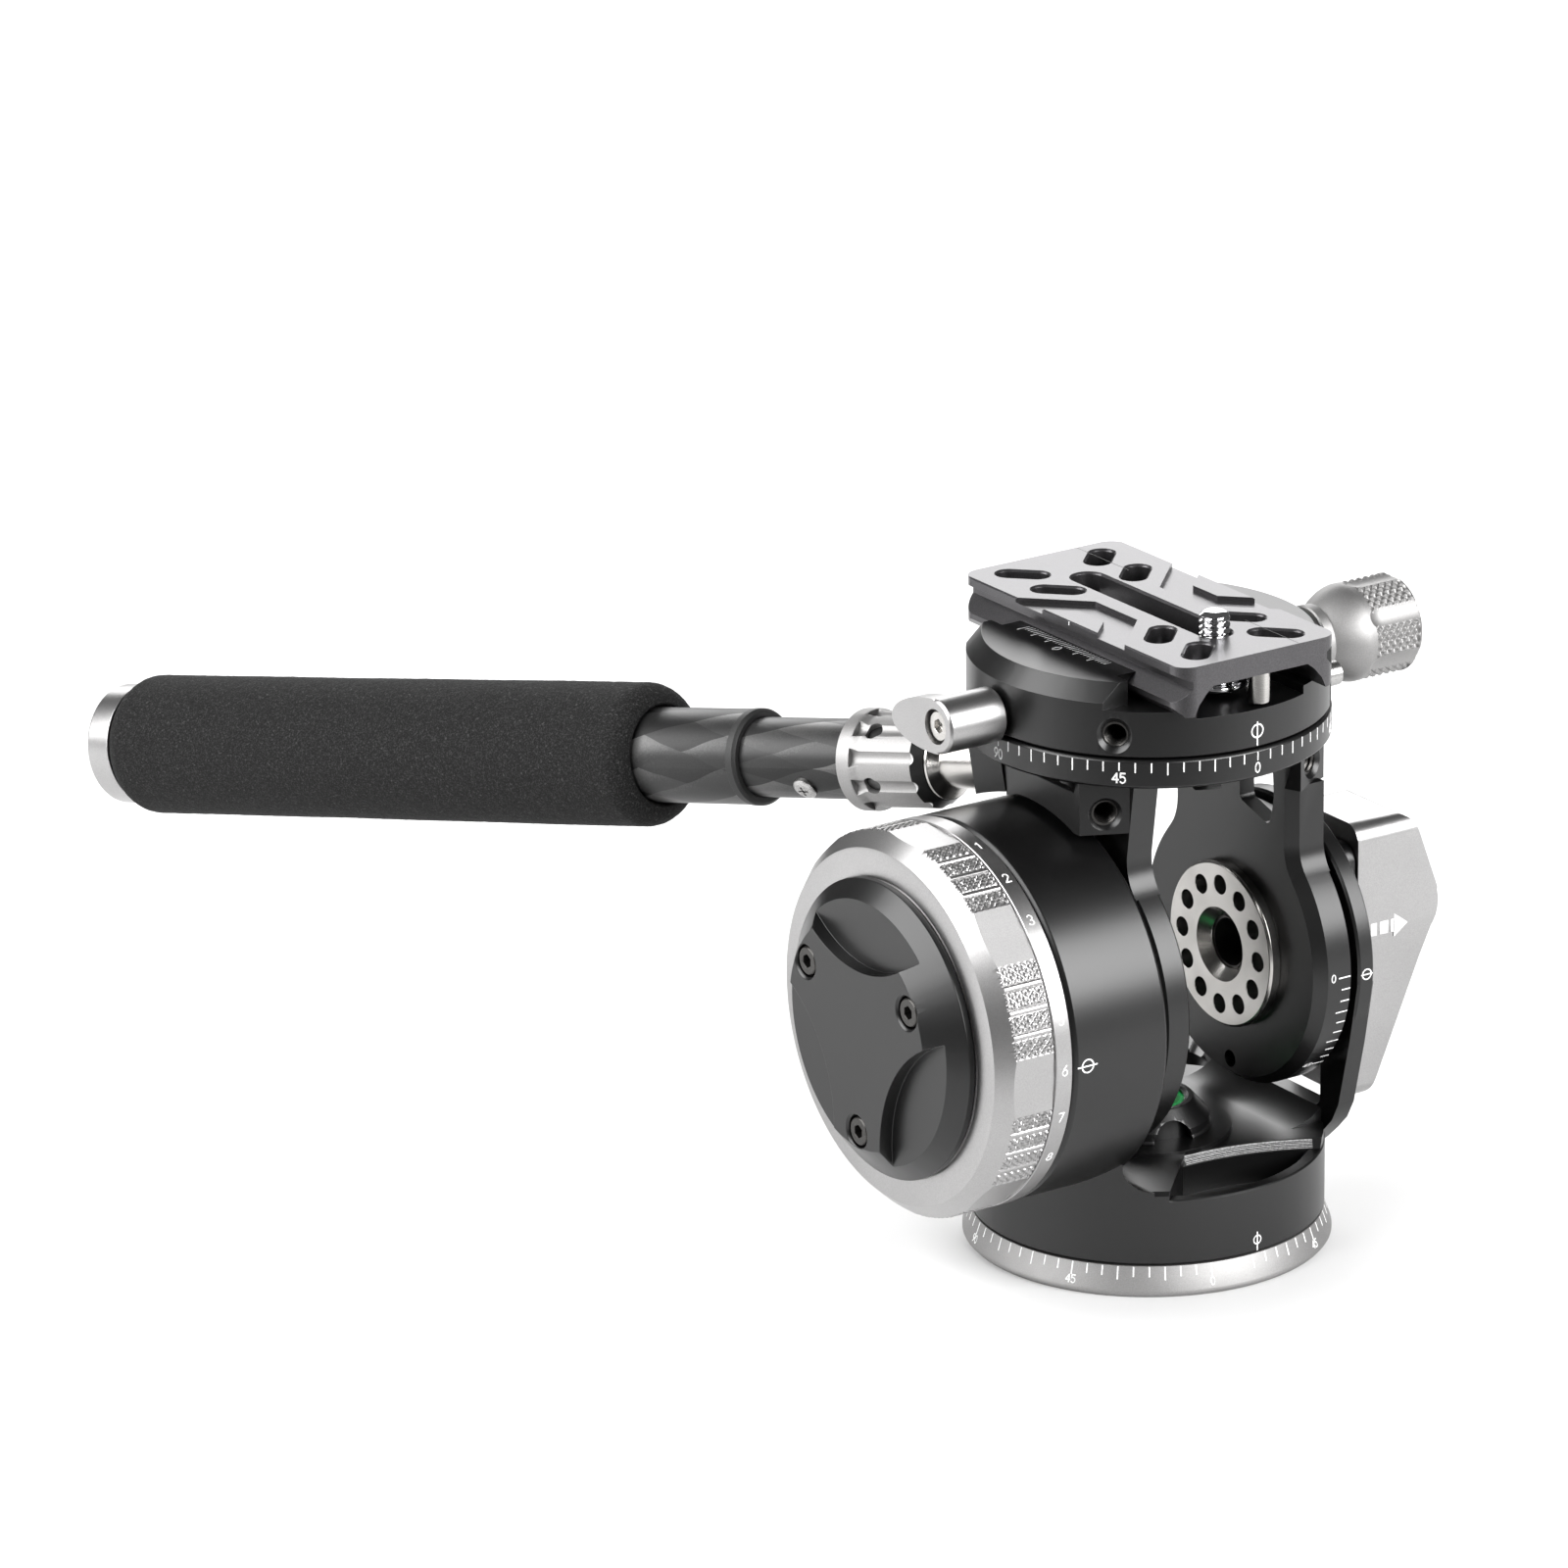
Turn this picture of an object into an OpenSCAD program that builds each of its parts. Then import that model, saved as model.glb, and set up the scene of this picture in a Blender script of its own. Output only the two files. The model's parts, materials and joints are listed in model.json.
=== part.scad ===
// Long lens tripod head: panning base, side-drum tilt cradle, rotating
// dovetail clamp with plate, and telescopic pan handle.
// +Z up, +X along the tilt axis from the drag drum to the lock lever,
// -Y is the front.  The origin is the centre of the tripod seat.  Millimetres.

/* [Base] */
// Diameter of the base ring
base_d = 75; // [68:0.5:84]
// Height of the base ring
base_h = 6.25; // [5:0.25:8]
// Radius of the tapped tripod socket
socket_r = 3.97; // [3:0.01:5]
// Depth of the tapped tripod socket
socket_depth = 15; // [10:0.5:16]

/* [Pan body] */
// Radius of the panning body
pan_r = 36; // [34:0.1:37]
// Top of the panning body wall
pan_wall_z = 20.3; // [18:0.1:21.5]
// Top of the deck between the arms
deck_z = 22; // [21.5:0.1:22.5]
// Floor of the crescent pocket at the front
pocket_z = 14; // [11:0.5:18]
// Radius of the levelling bubble
vial_r = 7.7; // [7:0.1:8.2]

/* [Tilt] */
// Height of the tilt axis above the seat
tilt_h = 57.5; // [57:0.1:58.5]
// Radius of the tilt drum
drum_r = 39.3; // [38:0.1:39.3]
// Radius of the plate that carries the lever side
upright_r = 30; // [28:0.1:31]
// Radius of the main tilt shaft
shaft_r = 9; // [8:0.1:10]

/* [Drag dial] */
// Radius of the drag dial
dial_r = 39.4; // [38:0.1:39.4]
// Radius of the black dial cap
cap_r = 30.6; // [28:0.1:32]
// Radius of the flat face of the cap
cap_face_r = 23.5; // [20:0.1:26]

/* [Cradle] */
// Radius of the graduated ring
ring_r = 36.5; // [35:0.1:37.5]
// Underside of the graduated ring
ring_z = 107.2; // [106:0.1:108]
// Top of the graduated ring
ring_top = 113.2; // [112:0.1:113.2]
// Radius of the lower end of the drum side arm
arm_l_r = 34; // [32:0.1:34]
// Radius of the lower end of the lever side arm
arm_r_r = 29.8; // [28:0.1:30]
// Radius of the polished hub discs
hub_r = 17.3; // [15:0.1:18]
// Radius of the accessory sockets
acc_r = 2.6; // [2.4:0.05:3]

/* [Lock lever] */
// Travel of the lever when it is pulled out to re-index it
lever_pull = 4; // [3:0.5:4]
// Lower end of the lever
lever_low = 20; // [18:0.5:26]

/* [Clamp] */
// Radius of the clamp
clamp_r = 36.3; // [35:0.1:37]
// Top of the clamp jaws
jaw_top = 128; // [127:0.1:128.3]
// Width of the dovetail that the jaws take
dove_w = 38.5; // [37:0.1:38.5]
// Radius of the clamp knob
knob_r = 10.1; // [9:0.1:10.5]

/* [Plate] */
// Length of the plate
plate_l = 75; // [65:0.5:80]
// Thickness of the top of the plate
plate_t = 4.7; // [4:0.1:5]
// Width of the long slot
slot_w = 6.8; // [6.5:0.1:7]

/* [Handle] */
// Heading of the handle off the back axis in degrees
handle_yaw = 16.73; // [5:0.01:25]
// Droop of the handle in degrees
handle_drop = 11.09; // [8:0.01:14]
// Radius of the foam grip
foam_r = 15.1; // [13:0.1:16]
// Station of the front end of the foam
foam_a = 82; // [75:1:110]
// Station of the back end of the foam
foam_b = 232; // [180:1:250]

/* [Hidden] */
$fn = 96;
black = [0.10, 0.10, 0.11];
silver = [0.80, 0.80, 0.81];
gunmetal = [0.30, 0.29, 0.32];
steel = [0.62, 0.62, 0.64];
bronze = [0.66, 0.50, 0.30];
plastic = [0.85, 0.84, 0.80];
base_r = base_d / 2;
pan_z = base_h + 0.25;
seat_z = 22.85;
dove = dove_w / 2;
plate_z = 133.5;
plate_y0 = -37.3;
plate_y1 = plate_y0 + plate_l;
web_z = plate_z - plate_t;
knob_z = 118;
top_lock_y = 1.5;
top_lock_z = 117.3;
screw_y = -22;
lock_a = 45;
lock_z = 13.5;
// Handle station 0
hx = -26;
hy = 25;
hz = 98.47;
// Heading of a grip flute without a hole
flute_a = 197.1;

// ---- helpers -------------------------------------------------------------
// Cylinder along X
module xcyl(r, x0, x1, y = 0, z = tilt_h)
  translate([x0, y, z]) rotate([0, 90, 0]) cylinder(r = r, h = x1 - x0);
// Cone along X
module xcone(ra, rb, x0, x1, y = 0, z = tilt_h)
  translate([x0, y, z]) rotate([0, 90, 0]) cylinder(r1 = ra, r2 = rb, h = x1 - x0);
// Solid of revolution about an axis along X, from points [radius, x]
module xrev(y = 0, z = tilt_h)
  translate([0, y, z]) rotate([0, 90, 0]) rotate_extrude() children();
// Outline in [y, z] extruded along X
module xext(x0, x1)
  translate([x0, 0, 0]) rotate([90, 0, 90]) linear_extrude(x1 - x0) children();
// Outline in [x, z] extruded along Y
module yext(y0, y1)
  translate([0, y1, 0]) rotate([90, 0, 0]) linear_extrude(y1 - y0) children();
// Local +Z along the handle
module at_handle(t = 0)
  translate([hx, hy, hz]) rotate([-90 - handle_drop, 0, handle_yaw])
    translate([0, 0, t]) children();
module tube(ro, ri, h)
  difference() {
    cylinder(r = ro, h = h);
    translate([0, 0, -1]) cylinder(r = ri, h = h + 2);
  }
// Radial frame at a heading, local +Z pointing outward
module radial(a, z)
  translate([0, 0, z]) rotate([0, 0, a]) rotate([0, 90, 0]) children();

// ---- base ----------------------------------------------------------------
module base_ring() color(silver)
  rotate_extrude() polygon([[12, 0], [20, 0], [20, 0.8], [30, 0.8], [30, 0],
    [base_r - 0.6, 0], [base_r, 0.7], [base_r, 1.5], [base_r - 1.6, base_h],
    [32.4, base_h], [32.4, 5.6], [17.6, 5.6], [17.6, base_h], [14.2, base_h],
    [14.2, 4.2], [12, 4.2]]);

module pan_spindle() color(steel)
  difference() {
    rotate_extrude() polygon([[0, 0], [12, 0], [12, 4.2], [14, 4.2],
      [14, base_h], [9, base_h], [9, 18.4], [8.4, 19], [0, 19]]);
    translate([0, 0, -1]) cylinder(r = socket_r, h = socket_depth + 1);
  }

module pan_washer() color(plastic)
  translate([0, 0, 5.6]) tube(32.2, 17.8, 0.8);

module spindle_nut() color(steel)
  difference() {
    translate([0, 0, 15.6]) tube(11.9, 9, 3);
    for (k = [0:3]) rotate([0, 0, 90 * k]) translate([10.5, -1.6, 15]) cube([4, 3.2, 4]);
  }

// ---- panning body --------------------------------------------------------
// Side of the slanting left end of the pocket on which the pocket lies
module pocket_end(z)
  translate([-4, -18, 0]) rotate([0, 0, 45.3]) translate([-60, -60, z]) cube([120, 60, 30]);

module pan_body() color(black)
  difference() {
    union() {
      difference() {
        union() {
          rotate_extrude() polygon([[0, pan_z], [pan_r - 0.4, pan_z],
            [pan_r, pan_z + 0.4], [pan_r, pan_wall_z - 0.3],
            [pan_r - 0.3, pan_wall_z], [0, pan_wall_z]]);
          // deck behind the curved ridge
          difference() {
            translate([0, 0, pan_wall_z - 0.1]) cylinder(r = pan_r - 0.3, h = deck_z - pan_wall_z + 0.1);
            translate([-4, -71, pan_wall_z - 1]) cylinder(r = 52.4, h = 4);
            translate([-4, -71, pan_wall_z]) cylinder(r1 = 52.4, r2 = 52.45 + deck_z - pan_wall_z, h = deck_z - pan_wall_z + 0.05);
          }
          // saddle that carries the drum
          intersection() {
            translate([0, 0, 20]) cylinder(r = pan_r, h = 26);
            yext(-40, 40) difference() {
              polygon([[-37, 20], [-37, 45], [-24.9, 45], [-24.9, 27], [-19.9, 27], [-19.9, 20]]);
              translate([-19.9, 27]) circle(r = 5);
            }
          }
          // deck in front of the drum, left of the pocket
          difference() {
            rotate_extrude() polygon([[0, pan_wall_z - 0.5], [pan_r, pan_wall_z - 0.5],
              [pan_r, deck_z - 0.8], [pan_r - 0.8, deck_z], [0, deck_z]]);
            pocket_end(pan_wall_z - 1);
          }
          // fillet up to the sill of the upright
          yext(-18, 18) difference() {
            polygon([[22, 21.5], [30.5, 21.5], [30.5, 25], [22, 25]]);
            translate([22, 35.54]) circle(r = 13.54);
          }
        }
        // crescent pocket and its chamfered rim
        intersection() {
          union() {
            translate([0, 0, pocket_z]) cylinder(r = 32.6, h = 30);
            translate([0, 0, pan_wall_z - 0.9]) cylinder(r1 = 32.6, r2 = 33.65, h = 1.05);
          }
          translate([-4, -71, pocket_z - 1]) cylinder(r = 52.4, h = 30);
          pocket_end(pocket_z - 1);
        }
      }
      // seat of the levelling bubble
      translate([0, 0, 15]) cylinder(r = 17.2, h = seat_z - 15);
    }
    // room for the drum, the swinging arm and the upright
    xcyl(drum_r, -60, -23.2);
    xcyl(arm_l_r + 0.6, -23.3, -12.9);
    translate([30.5, -40, 16]) cube([20, 80, 40]);
    // bearing, shoulder and nut rooms
    translate([0, 0, pan_z - 1]) cylinder(r = 14.2, h = 1 + 8 - pan_z);
    translate([0, 0, pan_z - 1]) cylinder(r = 14, h = 1 + 14 - pan_z);
    translate([0, 0, 13]) cylinder(r = 10.5, h = 3);
    translate([0, 0, 15.3]) cylinder(r = 12.6, h = 4.4);
    // lock screw
    radial(lock_a, lock_z) translate([0, 0, 17]) cylinder(r = 3.05, h = 30);
  }

module pan_bearing() color(bronze)
  translate([0, 0, 8]) tube(14, 9.04, 6);

module drum_housing() color(black)
  xrev() polygon([[13, -23.2], [drum_r - 0.8, -23.2], [drum_r, -24],
    [drum_r, -45.2], [drum_r - 1, -46.2], [34, -46.2], [34, -28], [18, -28],
    [18, -36], [13, -36]]);

module tilt_upright() color(black)
  difference() {
    union() {
      xrev() polygon([[0, 30.5], [upright_r - 0.5, 30.5], [upright_r, 31],
        [upright_r, 34], [upright_r - 0.5, 34.5], [0, 34.5]]);
      xext(30.5, 34.5) polygon([[-14, 16], [14, 16], [15.5, 17.2], [18.5, 20],
        [21.5, 23.2], [23.6, 27.2], [27, 41.3], [29.6, 55], [-29.6, 55],
        [-27, 41.3], [-23.6, 27.2], [-21.5, 23.2], [-18.5, 20], [-15.5, 17.2]]);
    }
    xext(30, 35) difference() {
      union() {
        translate([-17.5, 27]) square([35, 20]);
        translate([-15.5, 25]) square([31, 6]);
        for (s = [-1, 1]) translate([15.5 * s, 27]) circle(r = 2);
      }
      translate([0, tilt_h]) circle(r = 24);
    }
    xcyl(11, 30, 35);
  }

module tilt_bearing_left() color(bronze)
  difference() {
    xcyl(13, -35, -25);
    xcyl(shaft_r + 0.04, -36, -24);
  }

module tilt_bearing_right() color(bronze)
  difference() {
    xcyl(11, 30.5, 34.5);
    xcyl(8.04, 30, 35);
  }

module tilt_brake_disc() color(steel)
  difference() {
    xcyl(22, 29.3, 30.5);
    xcyl(12, 29, 31);
  }

module drag_cartridge() color(steel)
  difference() {
    union() {
      xcyl(17.5, -45, -36);
      xcyl(5, -62.8, -44.5);
    }
    xcyl(shaft_r + 0.5, -44, -35);
  }

module spring_stack() color(steel)
  xrev() polygon([[20, -28], [31, -31], [20, -34], [31, -37], [20, -40],
    [31, -43], [31, -44.4], [20, -41.4], [18.6, -40], [29.6, -37], [18.6, -34],
    [29.6, -31], [18.6, -28]]);

module level_bezel() color(black)
  difference() {
    rotate_extrude() polygon([[vial_r, seat_z], [13, seat_z], [13, 23.3], [12.65, 23.65],
      [12.65, 25.2], [9.5, 28.8], [9.3, 29], [vial_r + 0.6, 29], [vial_r + 0.2, 28.6], [vial_r, 28.6]]);
    // arched openings down to the core
    for (k = [0:2]) rotate([0, 0, 120 * k - 100]) difference() {
      translate([9, 0, seat_z]) rotate([0, 90, 0]) cylinder(r = 4.3, h = 6);
      translate([0, 0, 15]) cylinder(r = 10.4, h = 20);
    }
  }

module level_vial() color([0.45, 0.75, 0.25])
  intersection() {
    translate([0, 0, seat_z]) cylinder(r = vial_r, h = 6.3);
    translate([0, 0, -11.2]) sphere(r = 40);
  }

module pan_lock_knob() color(black)
  radial(lock_a, lock_z) difference() {
    rotate_extrude() polygon([[2.9, 38.4], [5.5, 38.4], [6, 38.9], [6, 42],
      [8.2, 44], [8.5, 45], [8.5, 55], [7.6, 56], [0, 56], [0, 47], [2.9, 47]]);
    for (k = [0:7]) rotate([0, 0, 45 * k + 22.5]) translate([9.9, 0, 44]) cylinder(r = 2.2, h = 20);
  }

module pan_lock_stud() color(steel)
  radial(lock_a, lock_z) translate([0, 0, 17.4]) difference() {
    union() {
      cylinder(r = 3, h = 20.9);
      cylinder(r = 2.9, h = 29.6);
    }
    translate([0, 0, -1]) cylinder(r = 0.8, h = 2);
  }

// ---- drag dial -----------------------------------------------------------
module dial_ring() color(silver)
  difference() {
    xrev() polygon([[33, -46.5], [dial_r - 0.3, -46.5], [dial_r, -46.8],
      [dial_r, -50.4], [dial_r - 0.4, -50.5], [dial_r - 0.4, -50.8],
      [dial_r, -50.9], [dial_r, -59.7], [dial_r - 3.2, -63.2], [5.05, -63.2],
      [5.05, -60], [33, -60]]);
    for (k = [0:2]) rotate_screw(k) xcyl(1.5, -64, -61.2);
  }
// Screw positions of the dial cap
module rotate_screw(k)
  translate([0, 20.4 * cos(30 + 120 * k), 20.4 * sin(30 + 120 * k)]) children();

module dial_cap() color(black)
  difference() {
    xrev() polygon([[0, -63.2], [cap_r - 0.5, -63.2], [cap_r - 0.5, -63.6],
      [cap_r, -63.7], [cap_r, -65], [cap_face_r, -71], [0, -71]]);
    for (k = [0:2]) {
      translate([0, 43 * cos(90 + 120 * k), 43 * sin(90 + 120 * k)]) xcyl(29.2, -75, -68);
      rotate_screw(k) {
        xcyl(3.3, -72, -67.6);
        xcone(3.9, 3.3, -71.1, -70.5);
        xcyl(1.5, -72, -60);
      }
    }
  }

module cap_screws() color(steel)
  for (k = [0:2]) rotate_screw(k) difference() {
    union() {
      xrev() polygon([[0, -67.6], [3, -67.6], [3, -70.2], [2.7, -70.6], [0, -70.6]]);
      xcyl(1.5, -68, -61.2);
    }
    translate([-71, 0, tilt_h]) rotate([0, 90, 0]) cylinder(r = 1.44, h = 2.4, $fn = 6);
  }

module drag_cam() color(bronze)
  difference() {
    xcyl(30, -60, -52);
    xcyl(5.05, -61, -51);
    for (k = [0:5]) translate([0, 19 * cos(60 * k), 19 * sin(60 * k)]) xcyl(4.5, -57, -51);
  }

// ---- cradle --------------------------------------------------------------
module cradle_ring() color(black)
  rotate_extrude() polygon([[10, ring_z], [ring_r - 0.5, ring_z],
    [ring_r, ring_z + 0.5], [ring_r, ring_top - 0.5], [ring_r - 0.5, ring_top],
    [32, ring_top], [32, ring_top - 0.6], [14, ring_top - 0.6], [14, ring_top], [10, ring_top]]);

// Concave corners between a neck of half width w and a disc of radius rd;
// c is the depth of the chamfer on the inner edge, over the first 2.5 mm
module neck_fillets(rd, w, rf, x0, x1, c = 0) {
  dz = sqrt(pow(rd + rf, 2) - pow(w + rf, 2));
  for (s = [-1, 1]) difference() {
    xext(x0, x1) polygon([[s * (w + rf), tilt_h + dz], [s * w / 2, tilt_h + dz],
      [s * w / 2, tilt_h + rd * 0.4],
      [s * 0.8 * rd * (w + rf) / (rd + rf), tilt_h + 0.8 * rd * dz / (rd + rf)]]);
    xcyl(rf, x0 - 1, x1 + 1, s * (w + rf), tilt_h + dz);
    if (c > 0) xcone(rf + c, rf, x0, x0 + 2.5, s * (w + rf), tilt_h + dz);
  }
}

module arm_left() color(black)
  difference() {
    union() {
      xrev() polygon([[0, -20], [arm_l_r - 0.6, -20], [arm_l_r, -19.4],
        [arm_l_r, -14.6], [arm_l_r - 0.6, -14], [0, -14]]);
      xext(-20, -14) polygon([[-20.5, 78], [20.5, 78], [20.5, 90], [23, ring_z],
        [-23, ring_z], [-20.5, 90]]);
      neck_fillets(arm_l_r, 20.5, 10, -20, -14);
      // bracket, wrapped over the drum, with the block that holds the handle
      difference() {
        union() {
          translate([0, 0, 95.5]) linear_extrude(ring_z - 95.5)
            polygon([[-29, -17], [-20, -21.4], [-20, -20], [-14, -20], [-14, 20], [-20, 20], [-20, 21.4], [-29, 17]]);
          yext(-15, 15) difference() {
            polygon([[-32.5, ring_z], [-28.5, ring_z - 4.5], [-28.5, ring_z]]);
            translate([-33, ring_z - 4.7]) circle(r = 4.2);
          }
          at_handle(-15) linear_extrude(7.8) polygon(concat([[-8, -9], [8, -9]],
            arc(6.5, 4.7, 1.5, 0, 90), arc(-6.5, 4.7, 1.5, 90, 180)));
        }
        xcyl(drum_r + 1.6, -60, -20);
      }
    }
    translate([-60, -60, ring_z]) cube([120, 120, 30]);
    xcyl(shaft_r, -21, -13);
    acc_left() { cylinder(r = acc_r, h = 9); translate([0, 0, -0.5]) cylinder(r1 = acc_r + 1.3, r2 = acc_r, h = 1.3); }
    at_handle(-14) cylinder(r = 5.5, h = 20);
  }

module arm_right() color(black)
  difference() {
    union() {
      xrev() polygon([[0, 20.5], [arm_r_r - 1.8, 20.5], [arm_r_r, 23], [arm_r_r, 28.6],
        [arm_r_r - 0.4, 29], [0, 29]]);
      translate([0, 0, 75]) linear_extrude(21)
        polygon([[20.5, -18], [23, -19.8], [29, -19.8], [29, 19.8], [23, 19.8], [20.5, 18]]);
      neck_fillets(arm_r_r, 19.8, 9, 20.5, 29, 1.8);
      translate([0, 0, 95.5]) linear_extrude(ring_z - 95.5)
        polygon([[20.5, -18], [22, -21.4], [31, -17], [31, 17], [22, 21.4], [20.5, 18]]);
    }
    xcyl(8, 20, 30);
    // windows
    for (s = [-1, 1]) xext(20, 32) polygon([for (p = concat(arc(4.5, 90.3, 1.4, 180, 250),
      arc(12, 88.2, 1.6, 250, 346), [[14.5, 92.6]], arc(12.2, 102.4, 1.6, 0, 90),
      arc(4.7, 102.4, 1.6, 90, 180))) [p[0] * s, p[1]]]);
    // recess behind the windows
    translate([24.1, -13.4, 86]) cube([10, 26.8, 18.4]);
    acc_right() { cylinder(r = acc_r, h = 4.2); translate([0, 0, -0.5]) cylinder(r1 = acc_r + 1.3, r2 = acc_r, h = 1.3); }
    // drain hole below the hub
    xcyl(1.8, 20, 24, -0.4, 32.3);
  }
// Sockets on the slanted front faces, local +Z into the metal
module acc_left()
  translate([-24.4, -19.25, 99.7]) rotate([0, 0, -116.1]) rotate([0, -90, 0]) children();
module acc_right()
  translate([26.4, -19.25, 100.2]) rotate([0, 0, -63.9]) rotate([0, -90, 0]) children();

module hub_disc(x0, x1, s)
  difference() {
    xrev() polygon([[0, x0], [hub_r, x0], [hub_r, x1 - 0.5 * s], [hub_r - 0.5, x1], [0, x1]]);
    xrev() polygon([[0, x0 - s], [5.4, x0 - s], [5.4, x1 - 2 * s], [7.8, x1], [7.8, x1 + s], [0, x1 + s]]);
    for (k = [0:11]) translate([0, 12.8 * cos(30 * k), 12.8 * sin(30 * k)])
      xcyl(2, min(x0, x1) - 1, max(x0, x1) + 1);
  }
module hub_disc_right() color(steel) hub_disc(20.5, 18, -1);
module hub_disc_left() color(steel) hub_disc(-14, -11.5, 1);

module tilt_shaft() color(steel)
  difference() {
    xrev() polygon([[0, -40], [shaft_r - 0.5, -40], [shaft_r, -39.5], [shaft_r, -22.9],
      [16, -22.9], [16, -20], [shaft_r, -20], [shaft_r, -14], [0, -14]]);
    xcyl(5, -24, -13);
  }

module tilt_trunnion() color(steel)
  difference() {
    xcyl(8, 20.5, 34.5);
    xcyl(5, 20, 35);
  }

module glide_ring() color(plastic)
  translate([0, 0, ring_top - 0.6]) tube(32, 14, 0.8);

module handle_stub() color(silver)
  at_handle() rotate_extrude() polygon([[0, -14], [5.5, -14], [5.5, 3.4], [7.6, 4.8],
    [7.8, 4.9], [7.8, 5.4], [5.5, 5.4], [5.5, 14], [6.9, 14], [6.9, 34], [0, 34]]);

module inner_tube() color([0.14, 0.14, 0.15])
  difference() {
    at_handle(14) tube(8.2, 6.9, 136);
    screw_at() cylinder(r = 1.4, h = 20, center = true);
  }
// Screw that ties the inner tube to its plug, on the lower front side
module screw_at()
  at_handle(38.5) rotate([0, 0, 147.9]) rotate([0, 90, 0]) translate([0, 0, 8.2]) children();

module tube_screw() color(steel)
  screw_at() difference() {
    union() {
      difference() {
        rotate_extrude() polygon([[0, -0.6], [2.6, -0.6], [2.6, 0.5], [1.6, 1.1], [0, 1.1]]);
        translate([0, 0, -8.2]) rotate([0, 90, 0]) cylinder(r = 8.2, h = 20, center = true);
      }
      translate([0, 0, -3.4]) cylinder(r = 1.4, h = 3.8);
    }
    for (a = [0, 90]) rotate([0, 0, a]) translate([-1.3, -0.25, 0.5]) cube([2.6, 0.5, 2]);
  }

// ---- tilt lock -----------------------------------------------------------
// Points of a corner arc from angle a to b
function arc(cx, cy, r, a, b, n = 6) =
  [for (i = [0:n]) [cx + r * cos(a + (b - a) * i / n), cy + r * sin(a + (b - a) * i / n)]];
// Front outline of the lever in [y, z]
module lever_outline(top, hw, low, hl)
  polygon(concat(arc(hw - 4, top - 4, 4, 0, 90), arc(4 - hw, top - 4, 4, 90, 180),
    [[-hw, tilt_h]], arc(4 - hl, low + 4, 4, 190, 270), arc(hl - 4, low + 4, 4, 270, 350),
    [[hw, tilt_h]]));

module lock_hub() color(black)
  difference() {
    union() {
      xext(35.2, 43.9) {
        translate([0, tilt_h]) circle(r = 12.4);
        translate([-11, tilt_h]) square([22, 14.8]);
        translate([-7, tilt_h]) square([14, 18.8]);
        for (s = [-1, 1]) translate([7 * s, tilt_h + 14.8]) circle(r = 4);
      }
      xcyl(12.4, 34.8, 36);
    }
    xcyl(4.95, 34, 45);
  }

module lock_stud() color(steel)
  difference() {
    xcyl(4.95, 28, 43.9);
    xcyl(2.5, 34, 45);
  }

module lever_screw() color(steel)
  difference() {
    union() {
      xcyl(2.5, 34, 44.1);
      xcyl(4, 43.9, 58.5);
      xrev() polygon([[0, 58], [6, 58], [6, 61.5], [5.5, 62], [0, 62]]);
    }
    translate([59.5, 0, tilt_h]) rotate([0, 90, 0]) cylinder(r = 2.9, h = 4, $fn = 6);
  }

module lock_lever() color(silver)
  difference() {
    intersection() {
      yext(-20, 20) polygon(concat([[44.2, 80.4]], arc(55, 75.6, 4.8, 88, 20),
        [[64.6, 63.5]], arc(55.6, 60.5, 9.2, 14, -35), [[60.4, 48.5]],
        arc(48.2, lever_low + 2.6, 2.6, -10, -90), [[45.5, lever_low], [44.2, lever_low + 1]]));
      xext(35, 70) lever_outline(80.4, 11.5, lever_low, 9);
    }
    xcyl(4.05, 43, 55.6);
    xcyl(6.6, 53.7, 70);
  }

// ---- rotating clamp ------------------------------------------------------
module clamp_base() color(black)
  difference() {
    rotate_extrude() polygon([[0, 113.5], [clamp_r - 0.4, 113.5], [clamp_r, 113.9],
      [clamp_r, jaw_top - 3.5], [clamp_r - 3.1, jaw_top], [0, jaw_top]]);
    // channel and the ledge that the plate rides on
    yext(-40, 40) polygon([[-13, 122.05], [-13, 123.1], [-dove - 0.2, 123.1],
      [-dove - 0.2, 126.05], [-17.2, jaw_top + 0.05], [-17.2, 131], [45, 131], [45, 121.4],
      [dove - 0.1, 121.4], [dove - 0.1, 123.1], [13, 123.1], [13, 122.05]]);
    // room for the moving jaw
    translate([26.2, -40, 110]) cube([20, 80, 30]);
    // ends of the fixed jaw
    for (s = [-1, 1]) {
      translate([-45, s > 0 ? 23.2 : -63.2, 123.1]) cube([60, 40, 20]);
      translate([-21.8, s > 0 ? 19.5 : -59.5, 123.1]) cube([20, 40, 20]);
      // lower floor that the stop pins run over
      translate([-13, s > 0 ? 23 : -63, 121.4]) cube([26, 40, 10]);
    }
    // pivot, lock shaft, jaw pins and jaw screw
    translate([0, 0, 113]) cylinder(r = 8, h = 5);
    xcyl(2.95, -40, -9.5, top_lock_y, top_lock_z);
    for (s = [-1, 1]) xcyl(2.55, 8, 40, 18 * s, knob_z - 0.5);
    xcyl(3.05, 13.4, 40, 0, knob_z);
    // accessory socket
    acc_clamp() { cylinder(r = acc_r, h = 12); translate([0, 0, -1]) cylinder(r1 = acc_r + 2.2, r2 = acc_r, h = 2); }
  }
module acc_clamp()
  radial(-136.6, 118) translate([0, 0, clamp_r]) rotate([180, 0, 0]) children();

module clamp_pivot() color(steel)
  difference() {
    rotate_extrude() polygon([[0, 103], [8, 103], [8, 106.9], [9.95, 106.9], [9.95, 113.5],
      [8, 113.5], [8, 118], [0, 118]]);
    translate([0, 0, 102]) cylinder(r = 4, h = 6, $fn = 6);
  }

module pivot_nut() color(steel)
  translate([0, 0, 103.5]) difference() {
    tube(12, 8, 3.4);
    for (k = [0:3]) rotate([0, 0, 90 * k + 45]) translate([10.4, -1.5, -1]) cube([4, 3, 5]);
  }

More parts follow.
